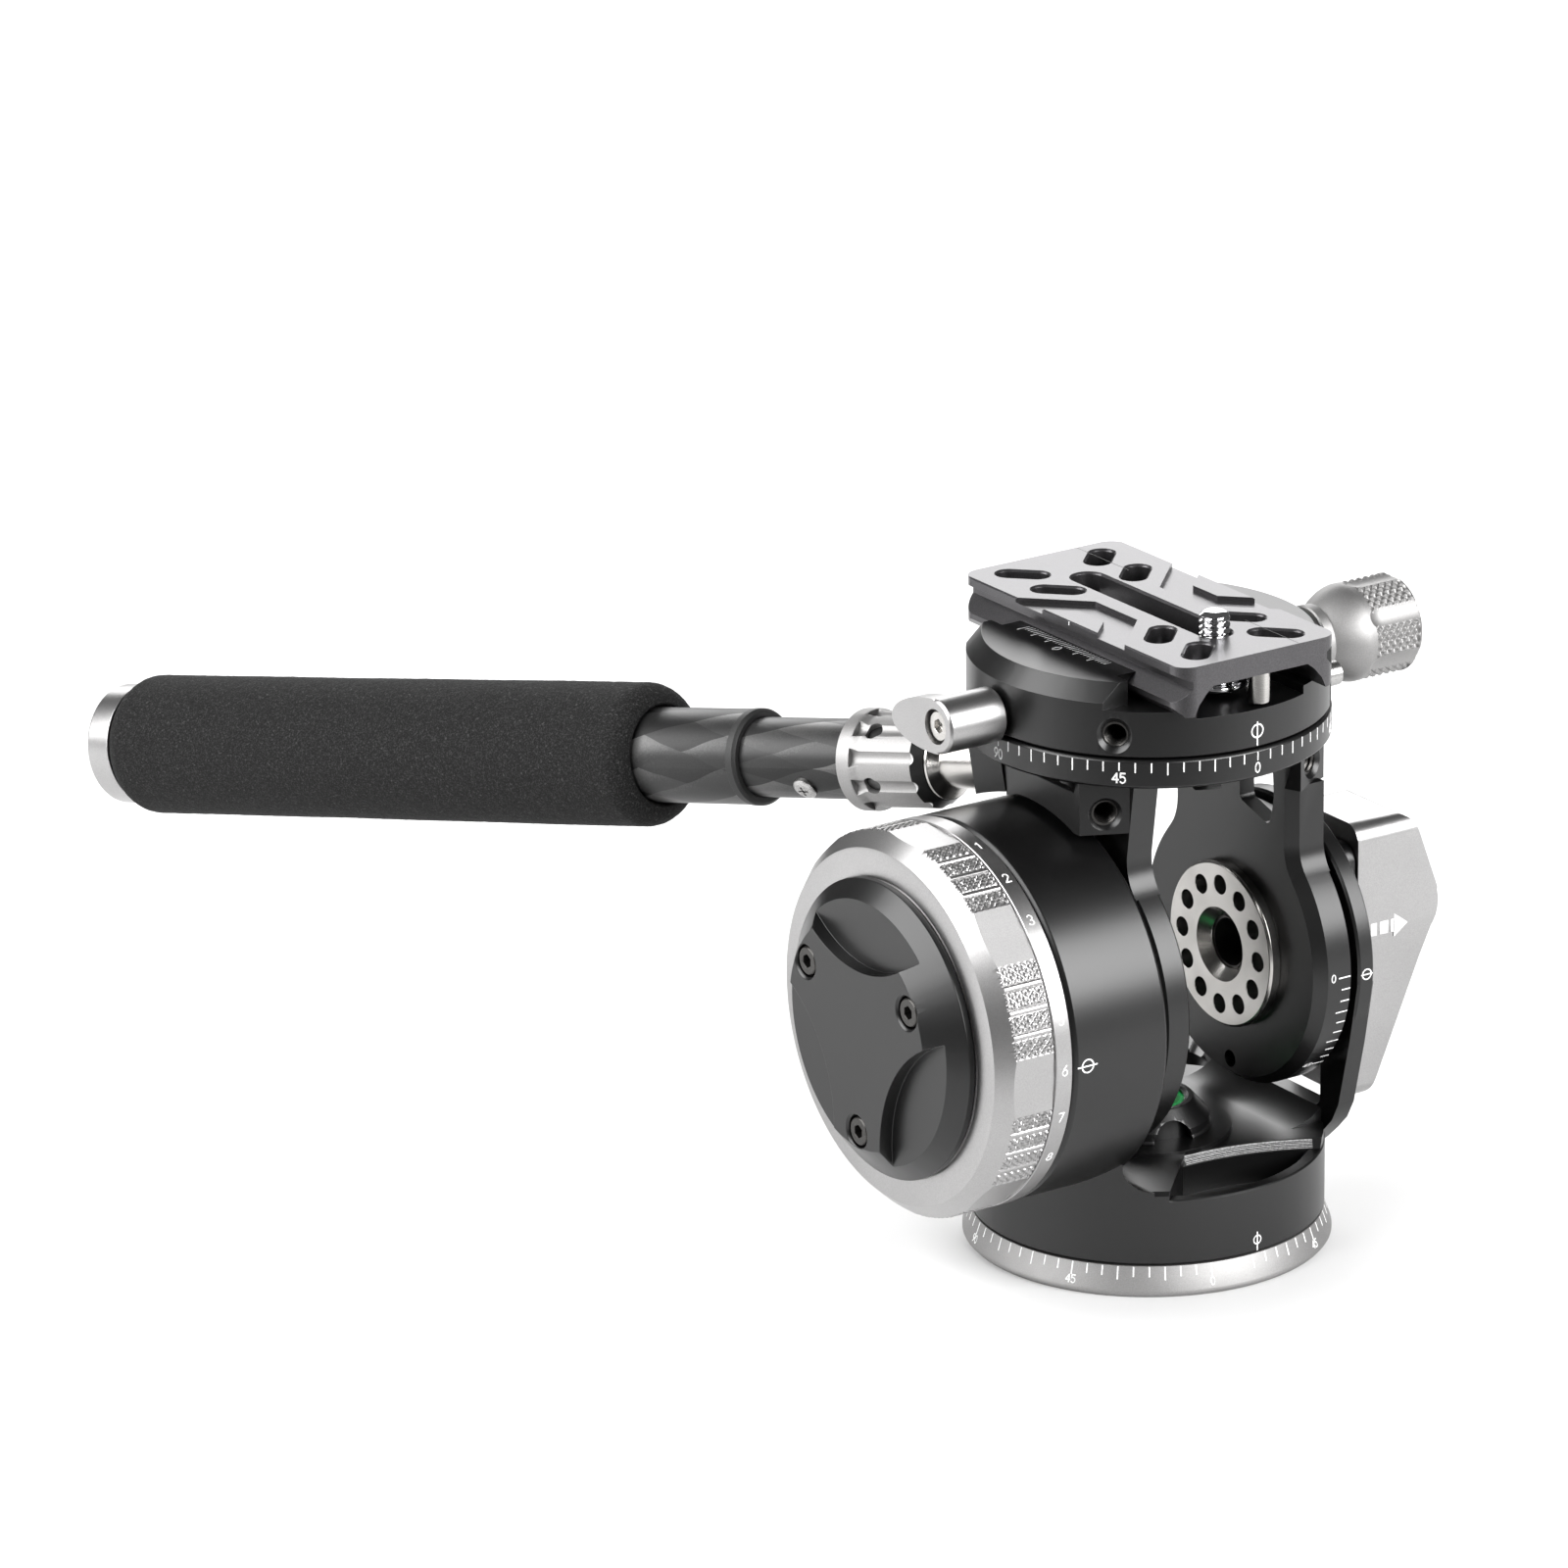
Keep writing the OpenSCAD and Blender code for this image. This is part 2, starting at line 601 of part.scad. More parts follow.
module top_lock_lever() color(silver)
  difference() {
    union() {
      xrev(top_lock_y, top_lock_z) polygon([[0, -50.5], [5.1, -50.5], [5.6, -50], [5.6, -37.4], [5.2, -37], [0, -37]]);
      translate([0, top_lock_y, top_lock_z]) rotate([-7, 0, 0]) xext(-50.5, -46.5) {
        polygon([for (q = [-90:6:90]) [15.2 * cos(q), 5.6 * sin(q)]]);
      }
      xcyl(2.9, -38, -10.5, top_lock_y, top_lock_z);
    }
    xcyl(3.6, -52, -47.8, top_lock_y, top_lock_z);
    xcyl(1.6, -52, -30, top_lock_y, top_lock_z);
  }

module top_lock_screw() color(steel)
  difference() {
    union() {
      xrev(top_lock_y, top_lock_z) polygon([[0, -47.8], [3.2, -47.8], [3.2, -49.4], [2.9, -49.8], [0, -49.8]]);
      xcyl(1.6, -48, -31, top_lock_y, top_lock_z);
    }
    translate([-50.2, top_lock_y, top_lock_z]) rotate([0, 90, 0]) cylinder(r = 1.5, h = 1.8, $fn = 6);
  }

// ---- moving jaw and its knob ---------------------------------------------
module clamp_jaw() color(black)
  difference() {
    intersection() {
      rotate_extrude() polygon([[0, 113.9], [clamp_r - 0.4, 113.9], [clamp_r, 114.3],
        [clamp_r, jaw_top - 3.5], [clamp_r - 3.1, jaw_top], [0, jaw_top]]);
      yext(-23.2, 23.2) polygon([[dove + 0.2, 121.7], [26.5, 121.7], [26.5, 113],
        [45, 113], [45, 131], [17.2, 131], [17.2, jaw_top + 0.05], [dove + 0.2, 126.05]]);
    }
    for (s = [-1, 1]) {
      xcyl(2.5, 20, 33, 18 * s, knob_z - 0.5);
      translate([10, s > 0 ? 19.5 : -59.5, 120]) cube([11.8, 40, 20]);
    }
    xcyl(3.05, 20, 40, 0, knob_z);
    // seat of the knob washer
    xcyl(7.5, 35.4, 40, 0, knob_z);
  }

module jaw_pins() color(steel)
  for (s = [-1, 1]) xcyl(2.5, 12, 33, 18 * s, knob_z - 0.5);

module clamp_knob() color(silver)
  difference() {
    xrev(0, knob_z) polygon([[3, 35.7], [4.4, 35.7], [4.4, 39], [7.1, 39], [7.3, 39.3],
      [7.3, 41.2], [6.9, 41.5], [knob_r - 0.2, 47.2], [knob_r, 48.5], [knob_r, 60.6],
      [knob_r - 0.6, 61.5], [6.5, 61.5], [6.5, 58.5], [3, 58.5]]);
    for (k = [0:5]) translate([0, 15.2 * cos(60 * k + 30), 15.2 * sin(60 * k + 30)]) {
      xcyl(6, 52, 70, 0, knob_z);
      translate([52, 0, knob_z]) sphere(r = 6);
    }
  }

module knob_screw() color(steel)
  difference() {
    xcyl(3, 14, 58.5, 0, knob_z);
    xcyl(1, 13, 15, 0, knob_z);
  }

module knob_cap() color(black)
  xrev(0, knob_z) polygon([[0, 58.5], [6.5, 58.5], [6.5, 61], [6.1, 61.5], [0, 61.5]]);

// ---- quick-release plate -------------------------------------------------
// Slot through the plate with a chamfered upper rim
module obround(x, y, a, w, l, c = 0.45)
  translate([x, y, web_z - 1]) rotate([0, 0, a]) {
    linear_extrude(plate_t + 2) union() {
      square([l - w, w], center = true);
      for (s = [-1, 1]) translate([s * (l - w) / 2, 0]) circle(r = w / 2);
    }
    translate([0, 0, plate_t + 1 - c]) {
      for (s = [-1, 1]) translate([s * (l - w) / 2, 0, 0]) cylinder(r1 = w / 2, r2 = w / 2 + c + 0.05, h = c + 0.05);
      rotate([90, 0, 90]) translate([0, 0, (w - l) / 2]) linear_extrude(l - w)
        polygon([[-w / 2, 0], [w / 2, 0], [w / 2 + c + 0.05, c + 0.05], [-w / 2 - c - 0.05, c + 0.05]]);
    }
  }
module rounded_block(hx, y0, y1, z0, z1, r)
  translate([0, 0, z0]) linear_extrude(z1 - z0) union() {
    translate([-hx + r, y0]) square([2 * hx - 2 * r, y1 - y0]);
    translate([-hx, y0 + r]) square([2 * hx, y1 - y0 - 2 * r]);
    for (s = [-1, 1]) for (y = [y0 + r, y1 - r]) translate([s * (hx - r), y]) circle(r = r);
  }

module plate() color(gunmetal)
  difference() {
    intersection() {
      rounded_block(dove, plate_y0, plate_y1, 123, plate_z, 4);
      yext(plate_y0 - 1, plate_y1 + 1) polygon([
        [-dove + 0.3, plate_z], [-dove, plate_z - 0.3], [-dove, 131.7], [-16.2, 130.4], [-16.2, 128.9], [-dove, 126],
        [-dove, 124.9], [-17.6, 123.2], [-15.9, 123.2], [-14.9, 125.4], [-13, 127.6], [-11.4, web_z],
        [11.4, web_z], [13, 127.6], [14.9, 125.4], [15.9, 123.2], [17.6, 123.2], [dove, 124.9],
        [dove, 126], [16.2, 128.9], [16.2, 130.4], [dove, 131.7], [dove, plate_z - 0.3], [dove - 0.3, plate_z]]);
    }
    // adjustment slots
    for (sx = [-1, 1]) for (sy = [-1, 1]) for (y = [29.6, 17.3])
      obround(9.5 * sx, y * sy + 0.2, 45 * sx * sy, 5, 10.7);
    obround(0, -0.75, 90, slot_w, 42.5 + slot_w);
    // shallow rebates in the top face
    for (s = [-1, 1]) translate([0, 0, plate_z - 1]) linear_extrude(2) difference() {
      polygon([[20 * s, 19.2], [7.9 * s, 7.1], [7.9 * s, -7.1], [20 * s, -19.2]]);
      polygon([[20 * s, 10.1], [13.9 * s, 4.1], [13.9 * s, -4.1], [20 * s, -10.1]]);
    }
    // pin sockets
    translate([2.2, -33.6, 120]) cylinder(r = 2.3, h = 11.5);
    translate([-2.2, 34.2, 120]) cylinder(r = 2.3, h = 11.5);
  }

module stop_pins() color(steel)
  for (p = [[2.2, -33.6], [-2.2, 34.2]]) translate([p[0], p[1], 0])
    rotate_extrude() polygon([[0, 121.7], [1.9, 121.7], [2.3, 122.1], [2.3, 131.5], [0, 131.5]]);

module screw_clip() color(steel)
  translate([0, screw_y, 127.6]) tube(5.5, 2.96, 0.9);

module camera_screw() color(steel)
  translate([0, screw_y, 0]) difference() {
    rotate_extrude() polygon([[0, 124.2], [5.8, 124.2], [6.2, 124.6], [6.2, 126.6], [5.8, 127],
      [2.9, 127], [2.9, 133.4], [3.1, 133.6], [3.1, 137.2], [2.4, 138], [0, 138]]);
    translate([-7, -0.7, 123]) cube([14, 1.4, 2.2]);
  }

module d_ring() color(steel)
  translate([0, screw_y, 123.3]) rotate_extrude() translate([5.4, 0]) circle(r = 0.9, $fn = 24);

// ---- handle --------------------------------------------------------------
module collar_bezel() color(black)
  at_handle() difference() {
    rotate_extrude() polygon([[5.6, 5.65], [7.9, 5.65], [9.6, 7.8], [5.6, 7.8]]);
    collar_flutes();
  }

module handle_collar() color(silver)
  at_handle() difference() {
    rotate_extrude() polygon([[5.6, 7.8], [9.6, 7.8], [9.6, 21.2], [10.45, 23.6],
      [10.45, 26.4], [10.1, 26.7], [8.3, 26.7], [8.3, 13.5], [5.6, 13.5]]);
    collar_flutes();
    for (k = [0:4]) rotate([0, 0, flute_a + 36 + 72 * k]) translate([0, 0, 19])
      rotate([0, 90, 0]) cylinder(r = 1.95, h = 14);
  }
// Grip flutes of the collar
module collar_flutes()
  for (k = [0:9]) rotate([0, 0, flute_a + 36 * k]) translate([11.3, 0, 5]) cylinder(r = 2.25, h = 18.2);

module tube_lip() color([0.12, 0.12, 0.12])
  at_handle() rotate_extrude() polygon([[8.28, 54.3], [9.3, 54.3], [10, 54.9], [10, 56.5], [9.85, 56.5],
    [9.85, 56], [8.28, 56]]);

module outer_tube() color([0.14, 0.14, 0.15])
  at_handle(56) tube(9.85, 8.5, 169);

module foam_grip() color([0.08, 0.08, 0.08])
  at_handle() difference() {
    rotate_extrude() {
      translate([10, foam_a]) square([foam_r - 14.6, foam_b - foam_a]);
      translate([10, foam_a + 4.6]) square([foam_r - 10, foam_b - foam_a - 9.2]);
      translate([foam_r - 4.6, foam_a + 4.6]) circle(r = 4.6);
      translate([foam_r - 4.6, foam_b - 4.6]) circle(r = 4.6);
    }
    translate([0, 0, foam_a - 1]) cylinder(r = 10, h = 200);
  }

module end_cap() color(silver)
  at_handle() rotate_extrude() polygon([[0, 214], [8.5, 214], [8.5, 225], [9.85, 225], [9.85, 232],
    [13, 232], [13, 238], [12, 239], [0, 239]]);

// ---- assembly ------------------------------------------------------------
base_ring();
pan_spindle();
pan_washer();
spindle_nut();
pan_body();
pan_bearing();
drum_housing();
tilt_upright();
tilt_bearing_left();
tilt_bearing_right();
tilt_brake_disc();
drag_cartridge();
spring_stack();
level_bezel();
level_vial();
pan_lock_knob();
pan_lock_stud();
dial_ring();
dial_cap();
cap_screws();
drag_cam();
cradle_ring();
arm_left();
arm_right();
hub_disc_right();
hub_disc_left();
tilt_shaft();
tilt_trunnion();
glide_ring();
handle_stub();
inner_tube();
tube_screw();
lock_hub();
lock_stud();
lever_screw();
lock_lever();
clamp_base();
clamp_pivot();
pivot_nut();
top_lock_lever();
top_lock_screw();
clamp_jaw();
jaw_pins();
clamp_knob();
knob_screw();
knob_cap();
plate();
stop_pins();
screw_clip();
camera_screw();
d_ring();
collar_bezel();
handle_collar();
tube_lip();
outer_tube();
foam_grip();
end_cap();
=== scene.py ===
import json
import math
import bpy
import bmesh
import numpy as np
from mathutils import Vector, Matrix


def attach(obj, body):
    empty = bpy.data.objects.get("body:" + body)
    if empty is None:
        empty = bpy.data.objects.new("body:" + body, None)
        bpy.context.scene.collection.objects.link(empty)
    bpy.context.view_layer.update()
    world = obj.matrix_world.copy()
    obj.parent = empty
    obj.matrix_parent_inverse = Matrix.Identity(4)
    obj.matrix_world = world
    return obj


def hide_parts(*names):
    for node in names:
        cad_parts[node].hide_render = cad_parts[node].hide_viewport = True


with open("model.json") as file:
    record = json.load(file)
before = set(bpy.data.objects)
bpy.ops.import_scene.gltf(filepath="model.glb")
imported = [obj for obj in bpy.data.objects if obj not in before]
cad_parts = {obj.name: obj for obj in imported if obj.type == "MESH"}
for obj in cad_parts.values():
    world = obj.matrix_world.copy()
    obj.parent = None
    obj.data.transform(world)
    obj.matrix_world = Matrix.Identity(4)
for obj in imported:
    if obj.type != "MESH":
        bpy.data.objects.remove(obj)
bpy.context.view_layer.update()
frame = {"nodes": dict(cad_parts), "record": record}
NODES = frame["nodes"]
MM = 0.001
TILT_Z = 57.5


# ---------------------------------------------------------------- camera
def make_camera():
    az, el, roll = math.radians(-33.545), math.radians(19.426), math.radians(-0.663)
    back = Vector((math.sin(az) * math.cos(el), -math.cos(az) * math.cos(el), math.sin(el)))
    right0 = Vector((math.cos(az), math.sin(az), 0.0))
    up0 = back.cross(right0)
    right = right0 * math.cos(roll) + up0 * math.sin(roll)
    up = up0 * math.cos(roll) - right0 * math.sin(roll)
    target = Vector((-54.292, 49.698, 92.38)) * MM
    loc = target + back * 1.773536
    cam = bpy.data.cameras.new("camera")
    cam.sensor_fit = "HORIZONTAL"
    cam.sensor_width = 36.0
    cam.lens = 9000.1 / 1600.0 * 36.0
    cam.clip_start = 0.05
    cam.clip_end = 50.0
    ob = bpy.data.objects.new("camera", cam)
    m = Matrix((right, up, back)).transposed().to_4x4()
    m.translation = loc
    ob.matrix_world = m
    bpy.context.scene.collection.objects.link(ob)
    bpy.context.scene.camera = ob
    return ob


make_camera()


# ---------------------------------------------------------------- node helpers
def new_mat(name):
    m = bpy.data.materials.new(name)
    m.use_nodes = True
    nt = m.node_tree
    bsdf = next(n for n in nt.nodes if n.type == "BSDF_PRINCIPLED")
    return m, nt, bsdf


def node(nt, kind, **kw):
    n = nt.nodes.new(kind)
    for k, v in kw.items():
        if k.startswith("in_"):
            n.inputs[k[3:].replace("_", " ")].default_value = v
        else:
            setattr(n, k, v)
    return n


def math_node(nt, op, a, b=None, c=None):
    n = nt.nodes.new("ShaderNodeMath")
    n.operation = op
    for i, v in enumerate((a, b, c)):
        if v is None:
            continue
        if isinstance(v, (int, float)):
            n.inputs[i].default_value = v
        else:
            nt.links.new(v, n.inputs[i])
    return n.outputs[0]


def ramp(nt, stops, interp="LINEAR"):
    r = nt.nodes.new("ShaderNodeValToRGB")
    r.color_ramp.interpolation = interp
    e = r.color_ramp.elements
    while len(e) > len(stops):
        e.remove(e[-1])
    while len(e) < len(stops):
        e.new(1.0)
    for el, (p, c) in zip(e, stops):
        el.position = p
        el.color = (c[0], c[1], c[2], 1.0) if hasattr(c, "__len__") else (c, c, c, 1.0)
    return r


def map_range(nt, value, a, b):
    n = nt.nodes.new("ShaderNodeMapRange")
    n.inputs["To Min"].default_value = a
    n.inputs["To Max"].default_value = b
    nt.links.new(value, n.inputs["Value"])
    return n.outputs["Result"]


# ---------------------------------------------------------------- materials
def metal(name, dark, light, metallic, rough, rough_var=0.05, grain=4200.0, bump=0.2,
          depth=2.0e-5, spec=0.5, aniso=0.0, coat=0.0):
    """Bead-blasted, anodised or turned metal: fine speckle over a slow tone drift."""
    m, nt, b = new_mat(name)
    tc = node(nt, "ShaderNodeTexCoord")
    fine = node(nt, "ShaderNodeTexNoise", in_Scale=grain, in_Detail=2.0, in_Roughness=0.6)
    slow = node(nt, "ShaderNodeTexNoise", in_Scale=45.0, in_Detail=3.0)
    nt.links.new(tc.outputs["Object"], fine.inputs["Vector"])
    nt.links.new(tc.outputs["Object"], slow.inputs["Vector"])
    a = math_node(nt, "MULTIPLY", fine.outputs["Fac"], 0.65)
    mix = math_node(nt, "MULTIPLY_ADD", slow.outputs["Fac"], 0.35, a)
    cr = ramp(nt, [(0.30, dark), (0.70, light)])
    nt.links.new(mix, cr.inputs["Fac"])
    nt.links.new(cr.outputs["Color"], b.inputs["Base Color"])
    nt.links.new(map_range(nt, mix, rough - rough_var, rough + rough_var), b.inputs["Roughness"])
    bp = node(nt, "ShaderNodeBump", in_Strength=bump, in_Distance=depth)
    nt.links.new(fine.outputs["Fac"], bp.inputs["Height"])
    nt.links.new(bp.outputs["Normal"], b.inputs["Normal"])
    b.inputs["Metallic"].default_value = metallic
    b.inputs["Specular IOR Level"].default_value = spec
    b.inputs["Coat Weight"].default_value = coat
    return m


def turned(name, dark, light, rough, axis_z=TILT_Z):
    """Facing-lathe finish: fine rings about the tilt axis."""
    m, nt, b = new_mat(name)
    tc = node(nt, "ShaderNodeTexCoord")
    sep = node(nt, "ShaderNodeSeparateXYZ")
    nt.links.new(tc.outputs["Object"], sep.inputs[0])
    z = math_node(nt, "SUBTRACT", sep.outputs["Z"], axis_z * MM)
    r2 = math_node(nt, "ADD", math_node(nt, "MULTIPLY", sep.outputs["Y"], sep.outputs["Y"]),
                   math_node(nt, "MULTIPLY", z, z))
    r = math_node(nt, "SQRT", r2)
    com = node(nt, "ShaderNodeCombineXYZ")
    nt.links.new(r, com.inputs["X"])
    rings = node(nt, "ShaderNodeTexNoise", in_Scale=5200.0, in_Detail=2.0)
    nt.links.new(com.outputs[0], rings.inputs["Vector"])
    slow = node(nt, "ShaderNodeTexNoise", in_Scale=160.0, in_Detail=2.0)
    nt.links.new(tc.outputs["Object"], slow.inputs["Vector"])
    f = math_node(nt, "MULTIPLY_ADD", slow.outputs["Fac"], 0.5, math_node(nt, "MULTIPLY", rings.outputs["Fac"], 0.5))
    cr = ramp(nt, [(0.3, dark), (0.7, light)])
    nt.links.new(f, cr.inputs["Fac"])
    nt.links.new(cr.outputs["Color"], b.inputs["Base Color"])
    nt.links.new(map_range(nt, f, rough - 0.06, rough + 0.08), b.inputs["Roughness"])
    bp = node(nt, "ShaderNodeBump", in_Strength=0.18, in_Distance=1.5e-5)
    nt.links.new(rings.outputs["Fac"], bp.inputs["Height"])
    nt.links.new(bp.outputs["Normal"], b.inputs["Normal"])
    b.inputs["Metallic"].default_value = 1.0
    return m


HANDLE_ROT = (math.radians(-101.09), 0.0, math.radians(16.73))
HANDLE_LOC = (-0.026, 0.025, 0.09847)


def handle_coords(nt):
    """Cylinder coordinates of the handle: radius, angle (0 to 1 around) and station, in metres."""
    tc = node(nt, "ShaderNodeTexCoord")
    mp = node(nt, "ShaderNodeMapping", vector_type="TEXTURE")
    mp.inputs["Location"].default_value = HANDLE_LOC
    mp.inputs["Rotation"].default_value = HANDLE_ROT
    nt.links.new(tc.outputs["Object"], mp.inputs["Vector"])
    sep = node(nt, "ShaderNodeSeparateXYZ")
    nt.links.new(mp.outputs[0], sep.inputs[0])
    x, y = sep.outputs["X"], sep.outputs["Y"]
    ang = math_node(nt, "DIVIDE", math_node(nt, "ARCTAN2", y, x), 2 * math.pi)
    rad = math_node(nt, "SQRT", math_node(nt, "ADD", math_node(nt, "MULTIPLY", x, x), math_node(nt, "MULTIPLY", y, y)))
    return mp.outputs[0], rad, ang, sep.outputs["Z"]


def carbon(name):
    """Roll-wrapped composite: long overlapping diamond plies under a satin resin."""
    m, nt, b = new_mat(name)
    vec, rad, ang, t = handle_coords(nt)
    u = math_node(nt, "MULTIPLY", ang, 9.0)
    v = math_node(nt, "DIVIDE", t, 0.023)
    warp = node(nt, "ShaderNodeTexNoise", in_Scale=70.0, in_Detail=1.0)
    nt.links.new(vec, warp.inputs["Vector"])
    w = math_node(nt, "MULTIPLY", math_node(nt, "SUBTRACT", warp.outputs["Fac"], 0.5), 0.35)
    p = math_node(nt, "ADD", math_node(nt, "ADD", u, v), w)
    q = math_node(nt, "SUBTRACT", math_node(nt, "SUBTRACT", u, v), w)
    com = node(nt, "ShaderNodeCombineXYZ")
    nt.links.new(math_node(nt, "FLOOR", p), com.inputs["X"])
    nt.links.new(math_node(nt, "FLOOR", q), com.inputs["Y"])
    wn = node(nt, "ShaderNodeTexWhiteNoise")
    nt.links.new(com.outputs[0], wn.inputs["Vector"])
    # painted sheen: each ply gets its own lighter or darker tone, drifting from one edge to the other, in place of the
    # fibres' changing reflection
    edge = math_node(nt, "FRACT", p)
    tone = math_node(nt, "MULTIPLY_ADD", wn.outputs["Value"], 0.62, math_node(nt, "MULTIPLY", edge, 0.38))
    fib = node(nt, "ShaderNodeTexNoise", in_Scale=2600.0, in_Detail=2.0)
    nt.links.new(vec, fib.inputs["Vector"])
    # mixes the painted ply sheen with the tube's own fine fibre grain
    sheen_and_fibre = math_node(nt, "MULTIPLY_ADD", fib.outputs["Fac"], 0.22, math_node(nt, "MULTIPLY", tone, 0.85))
    cr = ramp(nt, [(0.20, (0.004, 0.004, 0.004)), (0.60, (0.026, 0.026, 0.026)), (0.95, (0.105, 0.104, 0.103))])
    nt.links.new(sheen_and_fibre, cr.inputs["Fac"])
    nt.links.new(cr.outputs["Color"], b.inputs["Base Color"])
    nt.links.new(map_range(nt, sheen_and_fibre, 0.50, 0.28), b.inputs["Roughness"])
    bp = node(nt, "ShaderNodeBump", in_Strength=0.12, in_Distance=3e-5)
    nt.links.new(sheen_and_fibre, bp.inputs["Height"])
    nt.links.new(bp.outputs["Normal"], b.inputs["Normal"])
    b.inputs["Metallic"].default_value = 0.35
    return m


def foam_mat(name):
    m, nt, b = new_mat(name)
    tc = node(nt, "ShaderNodeTexCoord")
    cells = node(nt, "ShaderNodeTexVoronoi", in_Scale=3000.0)
    grain = node(nt, "ShaderNodeTexNoise", in_Scale=1500.0, in_Detail=4.0, in_Roughness=0.7)
    nt.links.new(tc.outputs["Object"], cells.inputs["Vector"])
    nt.links.new(tc.outputs["Object"], grain.inputs["Vector"])
    f = math_node(nt, "MULTIPLY_ADD", cells.outputs["Distance"], 0.45, math_node(nt, "MULTIPLY", grain.outputs["Fac"], 0.6))
    cr = ramp(nt, [(0.30, 0.0018), (0.52, 0.0055), (0.70, 0.019), (0.85, 0.060)])
    nt.links.new(f, cr.inputs["Fac"])
    nt.links.new(cr.outputs["Color"], b.inputs["Base Color"])
    nt.links.new(map_range(nt, f, 0.97, 0.80), b.inputs["Roughness"])
    bp = node(nt, "ShaderNodeBump", in_Strength=0.65, in_Distance=1.6e-4)
    nt.links.new(f, bp.inputs["Height"])
    nt.links.new(bp.outputs["Normal"], b.inputs["Normal"])
    b.inputs["Specular IOR Level"].default_value = 0.25
    return m


def ink(name, dark, light):
    """Printed filler in an engraved mark."""
    m, nt, b = new_mat(name)
    tc = node(nt, "ShaderNodeTexCoord")
    n = node(nt, "ShaderNodeTexNoise", in_Scale=2500.0, in_Detail=2.0)
    nt.links.new(tc.outputs["Object"], n.inputs["Vector"])
    cr = ramp(nt, [(0.35, dark), (0.65, light)])
    nt.links.new(n.outputs["Fac"], cr.inputs["Fac"])
    nt.links.new(cr.outputs["Color"], b.inputs["Base Color"])
    nt.links.new(map_range(nt, n.outputs["Fac"], 0.45, 0.65), b.inputs["Roughness"])
    return m


def vial_mat(name):
    """Green spirit behind a clear window, with a lighter bubble ring near the middle; the dark ring round the bubble
    and the dark outer edge are painted shade, the bright band near the wall a painted reflection.
    """
    m, nt, b = new_mat(name)
    tc = node(nt, "ShaderNodeTexCoord")
    sep = node(nt, "ShaderNodeSeparateXYZ")
    nt.links.new(tc.outputs["Object"], sep.inputs[0])
    dx = math_node(nt, "SUBTRACT", sep.outputs["X"], 0.0004)
    dy = math_node(nt, "SUBTRACT", sep.outputs["Y"], -0.0003)
    r = math_node(nt, "SQRT", math_node(nt, "ADD", math_node(nt, "MULTIPLY", dx, dx), math_node(nt, "MULTIPLY", dy, dy)))
    n = node(nt, "ShaderNodeTexNoise", in_Scale=900.0, in_Detail=2.0)
    nt.links.new(tc.outputs["Object"], n.inputs["Vector"])
    rr = math_node(nt, "MULTIPLY_ADD", n.outputs["Fac"], 0.03, math_node(nt, "MULTIPLY", r, 112.0))
    # painted light in this ramp: a dark ring at the bubble's rim (painted shade), a bright band near the wall (painted
    # reflection) and a dark outer edge (painted shade); the greens are the spirit's own colour
    cr = ramp(nt, [(0.0, (0.08, 0.55, 0.18)), (0.30, (0.05, 0.45, 0.13)), (0.34, (0.006, 0.06, 0.02)),
                   (0.40, (0.008, 0.11, 0.025)), (0.66, (0.010, 0.15, 0.035)), (0.76, (0.02, 0.42, 0.10)),
                   (0.84, (0.015, 0.36, 0.08)), (0.89, (0.004, 0.03, 0.01))])
    nt.links.new(rr, cr.inputs["Fac"])
    nt.links.new(cr.outputs["Color"], b.inputs["Base Color"])
    nt.links.new(map_range(nt, n.outputs["Fac"], 0.05, 0.12), b.inputs["Roughness"])
    b.inputs["Coat Weight"].default_value = 1.0
    b.inputs["Coat Roughness"].default_value = 0.03
    return m


def collar_tip(name):
    """Black end cone of the collar, bright where the grip flutes cut through it."""
    m, nt, b = new_mat(name)
    vec, rad, ang, t = handle_coords(nt)
    cone = math_node(nt, "MULTIPLY_ADD", t, 1.7 / 2.15, 0.0079 - 0.00565 * 1.7 / 2.15)
    gap = math_node(nt, "SUBTRACT", cone, rad)
    n = node(nt, "ShaderNodeTexNoise", in_Scale=4200.0, in_Detail=2.0)
    nt.links.new(vec, n.inputs["Vector"])
    cut = math_node(nt, "GREATER_THAN", gap, 0.00007)
    inside = math_node(nt, "GREATER_THAN", rad, 0.0082)
    mask = math_node(nt, "MULTIPLY", cut, inside)
    val = math_node(nt, "MULTIPLY_ADD", mask, 0.5, math_node(nt, "MULTIPLY", n.outputs["Fac"], 0.4))
    cr = ramp(nt, [(0.10, 0.010), (0.40, 0.026), (0.56, 0.55), (0.9, 0.72)])
    nt.links.new(val, cr.inputs["Fac"])
    nt.links.new(cr.outputs["Color"], b.inputs["Base Color"])
    nt.links.new(mask, b.inputs["Metallic"])
    nt.links.new(map_range(nt, n.outputs["Fac"], 0.26, 0.40), b.inputs["Roughness"])
    return m


